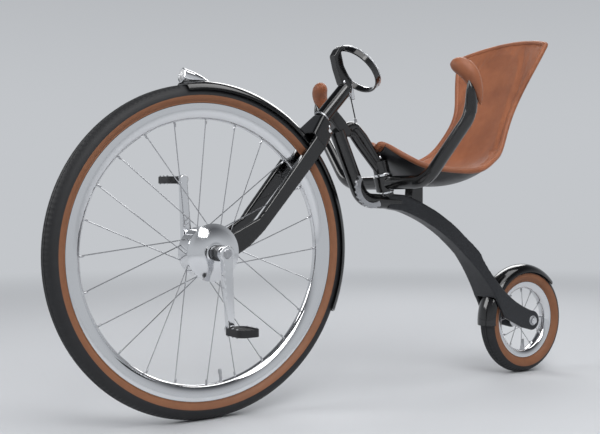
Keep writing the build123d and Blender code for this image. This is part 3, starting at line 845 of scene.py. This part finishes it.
@dataclass
class Wheel:
    """A wire wheel: tyre, rim, nipples and valve."""

    shop: Workshop
    label: str
    joint: str
    body: Body
    radius: float
    rim_deep: float
    spokes: int
    tan_top: float
    tyre_tall: float = 41.0
    tyre_half: float = 25.0
    rim_half: float = 16.5
    steps: int = 144
    sipe_long: float = 1.8
    nipple_out: float = 1.5
    valve_at: float = 187.5
    # Columns: across from the middle, drop below the crown
    tread: tuple[Pair, ...] = (
        (12.0, 2.8), (9.4, 1.7), (8.6, 3.0), (7.4, 3.0), (6.6, 0.9), (1.4, 0.1), (0.6, 1.5),
    )

    @property
    def hub(self) -> Vector:
        """Return the middle of the axle."""
        return self.shop.places[self.joint]

    @property
    def lip(self) -> float:
        """Return the radius of the rim's lip in millimetres."""
        return self.radius - self.tyre_tall

    @property
    def well(self) -> float:
        """Return the radius of the rim's inner side in millimetres."""
        return self.lip - self.rim_deep

    def build(self) -> None:
        """Model the wheel's pieces and dress them."""
        self.build_tyre()
        self.build_rim()
        self.build_nipples()
        self.build_valve()

    def build_tyre(self) -> None:
        """Turn the tyre with its round section and three grooves round the tread."""
        half: list[Pair] = [(self.rim_half - 3.0, self.lip - 4.0), (self.rim_half + 1.0, self.lip + 1.2)]
        middle = self.lip + 0.46 * self.tyre_tall
        rise = self.radius - middle
        for degrees in range(-46, 57, 8):
            turn = math.radians(degrees)
            reach = self.tyre_half if degrees < 0 else self.tyre_half - 0.4
            half.append((reach * math.cos(turn), middle + rise * math.sin(turn)))
        half += [(across, self.radius - drop) for across, drop in self.tread]
        tyre = Lathe(self.hub, LEFT, UP, self.steps).turn(f"{self.label}_tyre_rubber", mirrored(half))
        rubber = MouldedRubber(
            f"rubber_moulded_{self.label}", "#131315", 0.62, hub=tuple(self.hub),
            tan_from=(self.lip + 0.4) * MM, tan_to=self.tan_top * MM, tread_from=(self.radius - 9.0) * MM,
            sipes=round(self.radius / self.sipe_long),
        )
        self.shop.hand_over(tyre, self.body, Slot.TYRE, [f"{self.label}_tyre"], rubber.make())

    def build_rim(self) -> None:
        """Turn the deep rim with its rolled lips and rounded well."""
        edge = self.rim_half
        half = [
            (edge - 3.2, self.lip - 5.5), (edge - 2.2, self.lip - 0.6), (edge - 0.9, self.lip + 0.3),
            (edge + 0.1, self.lip - 0.5), (edge, self.lip - 3.0),
            (edge - 0.8, self.lip - 0.35 * self.rim_deep), (edge - 2.6, self.lip - 0.62 * self.rim_deep),
            (edge - 6.4, self.lip - 0.87 * self.rim_deep), (edge - 10.5, self.well + 0.6),
            (edge - 13.5, self.well),
        ]
        rim = Lathe(self.hub, LEFT, UP, self.steps).turn(f"{self.label}_rim_chrome", mirrored(half))
        self.shop.hand_over(rim, self.body, Slot.CHROME, [f"{self.label}_rim"])

    def build_nipples(self) -> None:
        """Turn one nipple and copy it to each spoke's end at the rim."""
        outline = [(0.0, 1.5), (1.5, 2.6), (9.0, 2.2), (11.0, 1.4), (11.0, 0.3), (0.0, 0.3)]
        model = Lathe(Vector(), -UP, LEFT, 8).turn("nipple", outline)
        places = []
        for count in range(self.spokes):
            degrees = FULL_TURN * count / self.spokes
            outward = clock_hand(degrees)
            side = Side.LEFT if count % 2 == 0 else Side.RIGHT
            foot = self.hub + outward * ((self.well + 1.0) * MM) + side.outward * (self.nipple_out * MM)
            places.append(Matrix.Translation(foot) @ Matrix.Rotation(math.radians(degrees), 4, "Y"))
        self.shop.hand_over(spread(model, places, f"{self.label}_nipples"), self.body, Slot.STEEL)

    def build_valve(self) -> None:
        """Turn the valve stem with its nut and cap."""
        outward = clock_hand(self.valve_at)
        foot = self.hub + outward * ((self.well + 1.0) * MM)
        outline = [
            (0.0, 5.0), (3.0, 5.0), (3.6, 3.2), (18.0, 3.2), (18.2, 4.2), (27.0, 4.0), (28.5, 2.4),
            (28.5, 0.2), (0.0, 0.2),
        ]
        valve = Lathe(foot, -outward, LEFT, 16).turn(f"{self.label}_valve", outline)
        self.shop.hand_over(valve, self.body, Slot.STEEL)


@dataclass
class Fender:
    """A close fender of rolled sheet with beaded edges."""

    shop: Workshop
    label: str
    joint: str
    body: Body
    crest: float
    start: float
    sweep: float
    half: float = 31.0
    thick: float = 2.4
    skirt: float = 20.0
    bead: float = 1.6
    bend: float = 78.0

    def build(self) -> None:
        """Roll the fender and replace its plain solid."""
        upper: list[Pair] = []
        lower: list[Pair] = []
        limit = math.radians(self.bend)
        for count in range(13):
            turn = (-1.0 + count / 6.0) * limit
            across = self.half * math.sin(turn) / math.sin(limit)
            drop = self.skirt * (1.0 - math.cos(turn)) / (1.0 - math.cos(limit))
            upper.append((across, self.crest - drop))
            lower.append((across * (1.0 - self.thick / self.half), self.crest - self.thick - drop * 0.96))
        foot = self.crest - self.skirt - self.bead
        outer = self.half + 0.3
        inner = self.half - self.thick - 0.8
        outline = [(-outer, foot), *upper, (outer, foot), (inner, foot), *reversed(lower), (-inner, foot)]
        lathe = Lathe(self.shop.places[self.joint], LEFT, clock_hand(self.start), 72, self.sweep)
        sheet = lathe.turn(f"{self.label}_sheet", outline)
        self.shop.hand_over(sheet, self.body, Slot.GLOSS_BLACK, [self.label])


@dataclass
class Fork:
    """The fork in one casting, its hub covers and the lamp on its fender."""

    shop: Workshop
    foot_out: float = 33.0
    cap_face: float = 46.0
    left_cap: float = 62.0
    right_cap: float = 48.0
    bore: float = 14.95
    crown_bolt: Pair = (327.2, 122.4)
    bolt: float = 4.0
    lamp_front: Point = (56.0, 0.0, 375.6)
    lamp_tail: Point = (-10.0, 0.0, 363.6)

    def build(self) -> None:
        """Cast the fork, then turn the covers, the lamp's pieces and the seam."""
        nodes = ["crown", "blade_left", "blade_right"]
        fork = self.shop.cast("fork_casting", nodes, 1.8, 14, Body.FORK, Slot.GLOSS_BLACK)
        self.shop.bolt_pair("crown_bolt", fork, self.crown_bolt, self.bolt, Body.FORK)
        self.build_cap(Side.LEFT, self.left_cap)
        self.build_cap(Side.RIGHT, self.right_cap)
        self.build_lamp()
        self.build_head_seam()

    def build_cap(self, side: Side, outer: float) -> None:
        """Turn a domed hub cover with a rolled edge and a raised boss.

        Args:
            side: Side of the wheel.
            outer: Radius in millimetres.
        """
        foot = self.foot_out
        face = self.cap_face
        rows: list[Pair] = [
            (foot - 1.0, self.bore), (foot - 1.0, outer - 0.8), (foot, outer + 0.2), (foot + 1.6, outer),
            (foot + 2.2, outer - 2.0),
        ]
        low = foot + 2.0
        for count in range(1, 11):
            share = count / 10.0
            out = (outer - 3.0) + (self.bore + 6.0 - outer + 3.0) * share
            rows.append((low + (face - low) * math.sin(0.5 * math.pi * share) * 0.96, out))
        rows += [(face, self.bore + 5.0), (face + 0.2, self.bore + 1.5), (face, self.bore)]
        node = f"hub_cap_{side.label}"
        outline = [(side.value * run, out) for run, out in rows]
        dome = Lathe(self.shop.places["front_roll"], LEFT, UP, 72).turn(f"{node}_dome", outline)
        self.shop.hand_over(dome, Body.FORK, Slot.CHROME, [node])

    def build_lamp(self) -> None:
        """Round the lamp's teardrop and give it a rim and a domed lens."""
        self.shop.cast("lamp_teardrop", ["lamp_housing"], 1.0, 10, Body.FORK, Slot.CHROME)
        hub = self.shop.places["front_roll"]
        front = hub + Vector(self.lamp_front) * MM
        tail = hub + Vector(self.lamp_tail) * MM
        lathe = Lathe(front, (front - tail).normalized(), LEFT, 48)
        rim = [(-4.0, 15.4), (-1.0, 16.4), (1.0, 16.2), (1.6, 14.6), (0.6, 13.4), (-4.0, 13.4)]
        self.shop.hand_over(lathe.turn("lamp_rim", rim), Body.FORK, Slot.CHROME)
        dome = [(-1.0, 0.1), (-1.0, 13.8), (1.0, 13.4), (3.4, 10.6), (5.0, 6.8), (5.8, 2.6), (6.0, 0.1)]
        self.shop.hand_over(lathe.turn("lamp_dome", dome), Body.FORK, Slot.LENS, ["lamp_lens"])

    def build_head_seam(self) -> None:
        """Turn the bright bearing cup at the seam below the column."""
        cup = [(1.2, 17.0), (1.2, 18.9), (2.0, 19.6), (4.6, 19.4), (5.4, 18.4), (5.4, 17.0)]
        lathe = Lathe(self.shop.places["steering"], self.shop.axes["steering"], LEFT, 56)
        self.shop.hand_over(lathe.turn("head_cup", cup), Body.FRAME, Slot.STEEL)


@dataclass
class Drive:
    """Cranks, bellows and pedals."""

    shop: Workshop
    crank_out: float = 95.0
    pedal_in: float = 101.0
    pedal_out: float = 172.0
    half_long: float = 25.0
    half_thick: float = 8.0
    corner: float = 16.0
    tray_rim: float = 4.0
    tray_waist: float = 0.45
    bellows_in: float = 52.4
    bellows_out: float = 79.6
    bellows_bore: float = 10.2
    fold: float = 5.4
    peg_at: float = 22.6

    def build(self) -> None:
        """Forge the cranks, cap the spindle and model the pedals."""
        hub = self.shop.places["crank_turn"]
        cap = [(0.0, 0.1), (0.0, 10.5), (1.6, 10.5), (2.6, 9.4), (1.8, 7.6), (2.6, 4.0), (2.8, 0.1)]
        for side in Side:
            name = f"crank_{side.label}"
            self.shop.cast(f"{name}_forging", [name], 1.3, 9, Body.CRANKS, Slot.CHROME)
            lathe = Lathe(hub + side.outward * ((self.crank_out - 1.0) * MM), side.outward, UP, 40)
            self.shop.hand_over(lathe.turn(f"{name}_cap", cap), Body.CRANKS, Slot.STEEL)
            self.build_bellows(side, hub)
        for side in Side:
            self.build_pedal(side, Body(f"{side.label}_pedal"))

    def build_bellows(self, side: Side, hub: Vector) -> None:
        """Turn the rubber bellows round the spindle between hub cover and crank.

        Args:
            side: Side of the wheel.
            hub: Middle of the spindle.
        """
        rows: list[Pair] = [(self.bellows_in, self.bellows_bore)]
        for count in range(5):
            start = self.bellows_in + self.fold * count
            rows += [(start + 0.4, 14.6), (start + 1.7, 16.6), (start + 3.4, 16.8), (start + 4.8, 14.8)]
        rows += [(self.bellows_out, 14.4), (self.bellows_out, self.bellows_bore)]
        outline = [(side.value * run, out) for run, out in rows]
        bellows = Lathe(hub, LEFT, UP, 48).turn(f"bellows_{side.label}", outline)
        self.shop.hand_over(bellows, Body.CRANKS, Slot.PEDAL)

    def build_pedal(self, side: Side, body: Body) -> None:
        """Model a platform pedal: rounded tray with sunk faces, bright grip pegs and a barrel.

        Args:
            side: Side of the bicycle.
            body: Body that carries it.
        """
        node = f"pedal_{side.label}"
        spot = self.shop.places[f"{side.label}_pedal_turn"].copy()
        spot.y = side.value * 0.5 * (self.pedal_in + self.pedal_out) * MM
        start_clean()
        bpy.ops.mesh.primitive_cube_add(size=1.0, location=spot)
        tray = bpy.context.object
        tray.name = f"{node}_tray"
        sides = (2.0 * self.half_long, self.pedal_out - self.pedal_in, 2.0 * self.half_thick)
        tray.scale = [length * MM for length in sides]
        bpy.ops.object.transform_apply(location=True, rotation=True, scale=True)

        def upright(edge: bpy.types.MeshEdge) -> bool:
            """Tell whether an edge runs up a corner of the tray."""
            first, second = (tray.data.vertices[index].co for index in edge.vertices)
            return abs(first.z - second.z) > MM

        with editing(tray):
            select_where(tray, "edges", upright)
            bpy.ops.mesh.select_mode(type="EDGE")
            bpy.ops.mesh.bevel(offset=self.corner * MM, segments=6, affect="EDGES")
            bpy.ops.mesh.select_mode(type="FACE")
            select_where(tray, "polygons", lambda face: abs(face.normal.z) > 0.9)
            bpy.ops.mesh.inset(thickness=self.tray_rim * MM, use_individual=True)
            bpy.ops.transform.resize(value=(1.0, 1.0, self.tray_waist), center_override=tuple(spot))
        finish_with(tray, "BEVEL", width=1.2 * MM, segments=2, limit_method="ANGLE")
        self.shop.hand_over(smooth(tray, 35.0), body, Slot.PEDAL, [node])
        self.build_pegs(node, spot, body)
        barrel = [(-33.0, 0.2), (-33.0, 6.4), (-31.0, 7.2), (31.0, 7.2), (33.0, 6.4), (33.0, 0.2)]
        core = Lathe(spot, LEFT, UP, 32).turn(f"{node}_barrel", barrel)
        self.shop.hand_over(core, body, Slot.PEDAL)

    def build_pegs(self, node: str, spot: Vector, body: Body) -> None:
        """Turn one grip peg and copy it along the tray's rims, above and below.

        Args:
            node: Name of the pedal's CAD node.
            spot: Middle of the pedal.
            body: Body that carries it.
        """
        outline = [(0.0, 0.1), (0.0, 2.3), (1.4, 2.3), (2.2, 1.5), (2.2, 0.1)]
        model = Lathe(Vector(), UP, LEFT, 10).turn("peg", outline)
        places = []
        for level, turn in ((1.0, 0.0), (-1.0, math.pi)):
            for edge in (-self.peg_at, self.peg_at):
                for along in (-18.0, 0.0, 18.0):
                    foot = spot + Vector((edge, along, level * (self.half_thick - 0.4))) * MM
                    places.append(Matrix.Translation(foot) @ Matrix.Rotation(turn, 4, "Y"))
        self.shop.hand_over(spread(model, places, f"{node}_pegs"), body, Slot.STEEL)


@dataclass
class Column:
    """Column top: bent bracket, bright strip, holder ring and cable."""

    shop: Workshop
    ring: float = 62.4
    wall: float = 4.5
    deep: float = 15.0
    cable: float = 3.0
    ferrule: float = 9.0
    bracket_bolt: Pair = (273.5, 232.0)
    bolt: float = 4.0
    # Columns: x, y, z from the rider's point
    route: tuple[Point, ...] = (
        (260.0, 13.5, 207.0),
        (252.0, 11.0, 186.0),
        (244.0, 8.5, 164.0),
        (235.0, 6.0, 139.0),
    )

    def build(self) -> None:
        """Round the castings, turn the ring and its bezel, and run the cable."""
        self.shop.cast("column_lug", ["column"], 1.5, 8, Body.FRAME, Slot.GLOSS_BLACK)
        bracket = self.shop.cast("bracket_casting", ["bracket"], 1.2, 14, Body.FRAME, Slot.GLOSS_BLACK)
        self.shop.bolt_pair("bracket_bolt", bracket, self.bracket_bolt, self.bolt, Body.FRAME)
        self.shop.cast("bracket_trim", ["bracket_strip"], 1.0, 10, Body.FRAME, Slot.CHROME)
        self.build_ring()
        self.build_cable()

    def build_ring(self) -> None:
        """Turn the open ring with rounded rims and its polished bezel."""
        mount = next(row for row in self.shop.frame["record"]["mounts"] if row["name"] == "holder")
        axis = Vector(mount["axis"]).normalized()
        top = Vector(mount["pos_m"]) + axis * (0.5 * self.deep * MM)
        low = self.ring - 0.5 * self.wall
        high = self.ring + 0.5 * self.wall
        rows = [
            (-self.deep + 1.0, low), (-1.0, low), (-0.1, low + 0.9), (-0.1, high - 0.9), (-1.0, high),
            (-self.deep + 1.2, high), (-self.deep, high - 1.2), (-self.deep, low + 1.0),
        ]
        lathe = Lathe(top, axis, LEFT, 72)
        ring = lathe.turn("holder_ring_band", rows)
        self.shop.hand_over(ring, Body.FRAME, Slot.GLOSS_BLACK, ["holder_ring"])
        bezel = []
        for count in range(12):
            turn = 2.0 * math.pi * count / 12.0
            bezel.append((0.6 + 1.6 * math.cos(turn), self.ring + 1.5 + 3.1 * math.sin(turn)))
        self.shop.hand_over(lathe.turn("ring_bezel_band", bezel), Body.FRAME, Slot.CHROME, ["ring_bezel"])

    def build_cable(self) -> None:
        """Run the taut control cable from the column's top down to the arch."""
        points = [Vector(row) * MM for row in self.route]
        start_clean()
        bpy.ops.curve.primitive_nurbs_path_add()
        cable = bpy.context.object
        cable.name = "control_cable"
        cable.data.splines.clear()
        spline = cable.data.splines.new("NURBS")
        spline.points.add(len(points) - 1)
        for spot, place in zip(spline.points, points):
            spot.co = (*place, 1.0)
        spline.order_u = 3
        spline.use_endpoint_u = True
        cable.data.bevel_depth = 0.5 * self.cable * MM
        cable.data.bevel_resolution = 3
        cable.data.use_fill_caps = True
        run = (points[-1] - points[0]).normalized()
        long = self.ferrule
        rows = [(0.0, 1.6), (0.0, 2.8), (0.8, 3.2), (long - 0.8, 3.2), (long, 2.8), (long, 1.6)]
        for label, foot in (("upper", points[0]), ("lower", points[-1] - run * (long * MM))):
            lathe = Lathe(foot, run, LEFT.cross(run).normalized(), 24)
            self.shop.hand_over(lathe.turn(f"cable_ferrule_{label}", rows), Body.FRAME, Slot.STEEL)
        cable.data.materials.append(self.shop.materials[Slot.PEDAL])
        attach(cable, Body.FRAME.value)


@dataclass
class Frame:
    """Boom, axle nuts, arch bolts and pivot collars."""

    shop: Workshop
    axle_end: float = 43.0
    hub_half: float = 18.0
    collar_gap: float = 1.2
    nut: float = 10.5
    nut_tall: float = 5.0
    arch_bolt: Pair = (161.0, 57.8)
    bolt: float = 6.0

    def build(self) -> None:
        """Round the boom and add the fasteners that hold the frame together."""
        self.shop.cast("boom_shell", ["boom"], 2.0, 14, Body.FRAME, Slot.SATIN_BOOM)
        washer = [(0.0, 6.0), (0.0, 13.0), (1.0, 13.6), (2.0, 13.0), (2.0, 6.0)]
        for side in Side:
            foot = self.shop.places["rear_roll"] + side.outward * ((self.axle_end - 0.5) * MM)
            lathe = Lathe(foot, side.outward, UP, 40)
            self.shop.hand_over(lathe.turn(f"axle_washer_{side.label}", washer), Body.FRAME, Slot.STEEL)
            seat = foot + side.outward * (1.8 * MM)
            nut = hex_nut(f"axle_nut_{side.label}", seat, side.outward, self.nut, self.nut_tall)
            self.shop.hand_over(nut, Body.FRAME, Slot.CHROME)
        self.shop.bolt_pair("arch_bolt", self.shop.node("arch"), self.arch_bolt, self.bolt, Body.FRAME)
        self.build_collars()

    def build_collars(self) -> None:
        """Turn the bright thrust collars above and below the handlebar's hub."""
        pivot = self.shop.places["handlebar_swing"]
        up = self.shop.axes["handlebar_swing"]
        upper = [(0.0, 18.0), (0.0, 20.6), (1.4, 21.4), (6.0, 21.4), (7.0, 20.4), (7.0, 18.0)]
        lower = [(0.0, 15.0), (0.0, 18.4), (1.2, 19.2), (5.0, 19.2), (6.0, 18.2), (6.0, 15.0)]
        for name, rows, axis in (("post_collar", upper, up), ("stub_collar", lower, -up)):
            lathe = Lathe(pivot + axis * ((self.hub_half + self.collar_gap) * MM), axis, LEFT, 56)
            self.shop.hand_over(lathe.turn(name, rows), Body.FRAME, Slot.CHROME)


@dataclass
class Grip:
    """Leather grips: a teardrop head that bends inward and a tongue down the bar."""

    shop: Workshop
    # Columns: x, y, z from the rider's point, radius
    route: tuple = (
        (106.0, 289.0, 164.0, 1.5),
        (109.0, 289.5, 178.0, 7.0),
        (114.0, 289.5, 192.0, 12.0),
        (122.0, 288.0, 210.0, 16.5),
        (131.0, 285.0, 228.0, 19.5),
        (139.0, 277.0, 243.0, 21.0),
        (146.0, 263.0, 252.0, 20.0),
        (151.0, 249.0, 255.0, 14.0),
        (153.0, 243.0, 256.0, 3.0),
    )
    # Columns: x, y, z from the rider's point, radius
    tip: tuple = (
        (130.0, 281.0, 146.0, 14.2),
        (129.5, 284.0, 164.0, 14.2),
        (132.5, 287.5, 182.0, 13.0),
        (138.5, 289.5, 200.0, 9.0),
        (143.0, 290.0, 216.0, 1.5),
    )

    def build(self) -> None:
        """Draw both grips and the bar's pointed ends beside them."""
        for side in Side:
            node = f"grip_{side.label}"
            for end, rows, slot, nodes in (
                ("leather", self.route, Slot.LEATHER, [node]), ("bar_tip", self.tip, Slot.GLOSS_BLACK, []),
            ):
                points = [Vector((x, side.value * y, z)) * MM for x, y, z, _ in rows]
                piece = drawn_tube(f"{node}_{end}", points, [row[-1] for row in rows], sides=7)
                self.shop.hand_over(piece, Body.BAR, slot, nodes)


class Station(NamedTuple):
    """One cross-section of the seat, in millimetres from the rider's point."""

    floor_x: float
    floor_z: float
    rim_x: float
    rim_z: float
    half: float


@dataclass
class Seat:
    """Tub seat: a swollen leather pad in a moulded shell with a rolled edge."""

    shop: Workshop
    stations: tuple[Station, ...] = (
        Station(170, 86, 170, 92, 12),
        Station(140, 68, 140, 79, 20),
        Station(120, 54, 121, 64, 36),
        Station(102, 40, 104, 48, 60),
        Station(84, 25, 88, 33, 88),
        Station(50, 8, 52, 25, 130),
        Station(-5, 0, -5, 21, 149),
        Station(-52, 5, -50, 30, 146),
        Station(-102, 28, -87, 53, 139),
        Station(-145, 61, -129, 69, 121),
        Station(-177, 121, -168, 126, 101),
        Station(-208, 180, -201, 183, 93),
        Station(-234, 242, -221, 247, 115),
        Station(-267, 309, -248, 316, 141),
        Station(-292, 370, -267, 352, 147),
    )
    rim_share: float = 0.8
    across: int = 16
    pad_middle: float = 5.2
    pad_thick: float = 8.0
    shell_middle: float = 12.9
    shell_thick: float = 5.0
    shell_shy: float = 0.3
    voxel: float = 4.5
    pressure: float = 4.0
    frames: int = 20
    cap: float = 7.0
    roll: float = 7.0
    roll_deep: float = 7.0
    chest: Point = (0.05, 0.0, 0.35)
    glue_below: float = 0.35

    def build(self) -> None:
        """Mould the shell, swell the pad and roll the edge."""
        shell = self.sheet("seat_shell_moulding", self.shell_middle, self.shell_thick, self.shell_shy)
        self.shop.hand_over(shell, Body.FRAME, Slot.SHELL, ["seat_shell"])
        pad = self.sheet("seat_pad_leather", self.pad_middle, self.pad_thick)
        finish_with(pad, "REMESH", mode="VOXEL", voxel_size=self.voxel * MM)
        finish_with(pad, "SMOOTH", factor=0.5, iterations=6)
        self.swell(pad)
        finish_with(pad, "SUBSURF", levels=1, render_levels=1)
        smooth(pad, 75.0)
        self.shop.hand_over(pad, Body.FRAME, Slot.LEATHER, ["seat_pad"])
        self.build_roll()

    def section(self, station: Station, depth: float, count: int) -> list[Vector]:
        """Return points across a station's U.

        Args:
            station: Cross-section of the seat.
            depth: Millimetres below the rider's surface.
            count: Number of steps across.

        Returns:
            Points from right to left in metres.
        """
        floor = Vector((station.floor_x, 0.0, station.floor_z))
        rise = Vector((station.rim_x, 0.0, station.rim_z)) - floor
        wide = station.half + depth * self.rim_share
        sag = rise.length + depth
        bend = (wide * wide + sag * sag) / (2.0 * sag)
        half_turn = math.asin(min(1.0, wide / bend))
        if sag > wide:
            half_turn = math.pi - half_turn
        spots = []
        for step in range(count + 1):
            turn = half_turn * (2.0 * step / count - 1.0)
            lift = bend - depth - bend * math.cos(turn)
            spots.append((floor + rise.normalized() * lift + LEFT * (bend * math.sin(turn))) * MM)
        return spots

    def sheet(self, name: str, middle: float, thick: float, shy: float = 0.0) -> Piece:
        """Shape a grid to the seat and give it a thickness.

        Args:
            name: Name of the piece.
            middle: Depth of the sheet's middle below the rider's surface in millimetres.
            thick: Thickness in millimetres.
            shy: Share of the first step that is left off at the nose.

        Returns:
            The closed sheet.
        """
        start_clean()
        steps = len(self.stations) - 1
        bpy.ops.mesh.primitive_grid_add(x_subdivisions=self.across, y_subdivisions=steps, size=1.0)
        piece = bpy.context.object
        piece.name = name
        nose = Station(*(one + shy * (two - one) for one, two in zip(*self.stations[:2])))
        rows = (nose, *self.stations[1:])
        spots = [spot for row in rows for spot in self.section(row, middle, self.across)]
        for vertex, spot in zip(piece.data.vertices, spots):
            vertex.co = spot
        close_up(piece)
        finish_with(piece, "SUBSURF", levels=2, render_levels=2, boundary_smooth="PRESERVE_CORNERS")
        finish_with(piece, "SOLIDIFY", thickness=thick * MM, offset=0.0)
        close_up(piece)
        return smooth(piece, 50.0)

    def swell(self, pad: Piece) -> None:
        """Swell the pad's upper side with air pressure while its glued underside stays.

        Args:
            pad: Closed pad.
        """
        rest = [vertex.co.copy() for vertex in pad.data.vertices]
        chest = Vector(self.chest)
        glued = [
            vertex.index for vertex in pad.data.vertices
            if vertex.normal.dot(chest - vertex.co) < self.glue_below * (chest - vertex.co).length
        ]
        group = pad.vertex_groups.new(name="glued")
        group.add(glued, 1.0, "ADD")
        pick(pad)
        cloth = pad.modifiers.new("swell", "CLOTH")
        cloth.settings.vertex_group_mass = group.name
        cloth.settings.use_pressure = True
        cloth.settings.uniform_pressure_force = self.pressure
        cloth.settings.effector_weights.gravity = 0.0
        cloth.collision_settings.use_collision = False
        cloth.collision_settings.use_self_collision = False
        cloth.point_cache.frame_start = 1
        cloth.point_cache.frame_end = self.frames
        for count in range(1, self.frames + 1):
            bpy.context.scene.frame_set(count)
        bpy.ops.object.modifier_apply(modifier=cloth.name)
        for vertex, start in zip(pad.data.vertices, rest):
            travel = vertex.co - start
            if travel.length > self.cap * MM:
                vertex.co = start + travel.normalized() * (self.cap * MM)
        bpy.context.scene.frame_set(1)
        pad.vertex_groups.clear()
        finish_with(pad, "SMOOTH", factor=0.5, iterations=4)

    def build_roll(self) -> None:
        """Roll the leather round the edge of pad and shell."""
        left, right = (
            [
                Vector((row.rim_x, side.value * (row.half + self.roll_deep * self.rim_share), row.rim_z)) * MM
                for row in self.stations
            ]
            for side in Side
        )
        top = list(reversed(self.section(self.stations[-1], self.roll_deep, 10)))[1:-1]
        nose = self.section(self.stations[0], self.roll_deep, 4)[1:-1]
        path = [*left, left[-1], *top, right[-1], *reversed(right), *nose]
        edge = drawn_tube("seat_edge_roll", path, [self.roll] * len(path), closed=True, sides=4)
        self.shop.hand_over(edge, Body.FRAME, Slot.LEATHER)


def facing(place: Point, aim: Point) -> Euler:
    """Return the turn by which a lamp or camera at a place looks at its aim."""
    return (Vector(aim) - Vector(place)).to_track_quat("-Z", "Y").to_euler()


@dataclass
class Studio:
    """Pale floor, soft lamps and the camera at the photograph's place."""

    eye: Point = (1.5944, 1.7452, -0.0530)
    aim: Point = (0.3936, 0.0, -0.0865)
    focal: float = 55.14
    sensor: float = 36.0
    ground: float = -0.51984
    floor_wide: float = 60.0
    floor_colour: str = "#C9CBCE"
    ceiling: str = "#44464A"
    air: str = "#DADCE0"
    air_power: float = 0.42
    lamp_aim: Point = (0.15, 0.0, -0.1)
    lamp_ratio: float = 0.6
    # Columns: name, place in metres, width in metres, power in watts
    lamps: tuple = (
        ("key_softbox", (0.9, 2.3, 1.9), 2.4, 58.0),
        ("top_softbox", (-0.3, 0.7, 2.5), 2.6, 30.0),
        ("fill_softbox", (2.6, -1.4, 1.3), 1.8, 26.0),
        ("back_softbox", (-1.8, -1.9, 1.7), 2.0, 34.0),
    )

    def build(self) -> None:
        """Lay the floor, hang the lamps and set up the camera."""
        self.build_floor()
        self.build_world()
        for name, place, size, power in self.lamps:
            start_clean()
            bpy.ops.object.light_add(type="AREA", location=place, rotation=facing(place, self.lamp_aim))
            lamp = bpy.context.object
            lamp.name = name
            lamp.data.shape = "RECTANGLE"
            lamp.data.size = size
            lamp.data.size_y = self.lamp_ratio * size
            lamp.data.energy = power
        start_clean()
        bpy.ops.object.camera_add(location=self.eye, rotation=facing(self.eye, self.aim))
        camera = bpy.context.object
        camera.data.lens = self.focal
        camera.data.sensor_width = self.sensor
        camera.data.clip_start = 10.0 * MM
        bpy.context.scene.camera = camera
        bpy.context.scene.view_settings.view_transform = "Standard"

    def build_floor(self) -> None:
        """Lay a wide matt floor."""
        start_clean()
        bpy.ops.mesh.primitive_plane_add(size=self.floor_wide, location=(0.0, 0.0, self.ground))
        floor = bpy.context.object
        floor.name = "studio_floor"
        floor.data.materials.append(StudioPaper("paper_rolled_matt", self.floor_colour, 0.8).make())

    def build_world(self) -> None:
        """Surround the set with a pale wall below a darker ceiling."""
        world = bpy.data.worlds.new("studio_air")
        bpy.context.scene.world = world
        world.use_nodes = True
        tree = world.node_tree
        tree.nodes.clear()
        way = add_node(tree, "TexCoord").outputs["Generated"]
        height = add_node(tree, "SeparateXYZ", {0: way}).outputs["Z"]
        share = add_node(tree, "MapRange", {
            "Value": height, "From Min": 0.05, "From Max": 0.75,
        }, interpolation_type="SMOOTHSTEP")
        tone = add_node(tree, "Mix", {0: share, 6: linear(WALL), 7: linear(self.ceiling)}, data_type="RGBA")
        seen = add_node(tree, "Background", {"Color": tone, "Strength": 1.0})
        light = add_node(tree, "Background", {"Color": linear(self.air), "Strength": self.air_power})
        mix = add_node(tree, "MixShader", {0: rays_to_eye(tree), 1: light, 2: seen})
        add_node(tree, "OutputWorld", {"Surface": mix})


def main() -> None:
    """Load the frame, build every sub-assembly and note the sizes."""
    logging.basicConfig(level=logging.INFO, format="%(message)s")
    shop = Workshop(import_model())
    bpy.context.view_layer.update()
    shop.paint_nodes()
    Wheel(shop, "front", "front_roll", Body.FRONT_WHEEL, 360.0, 34.0, 24, 335.0).build()
    Wheel(shop, "rear", "rear_roll", Body.REAR_WHEEL, 145.0, 20.0, 12, 127.6).build()
    Fender(shop, "front_fender", "front_roll", Body.FORK, 367.6, -114.0, 123.0).build()
    Fender(shop, "rear_fender", "rear_roll", Body.FRAME, 152.6, -45.0, 138.0).build()
    for assembly in (Fork, Drive, Column, Frame, Grip, Seat):
        assembly(shop).build()
    Studio().build()


if __name__ == "__main__":
    main()
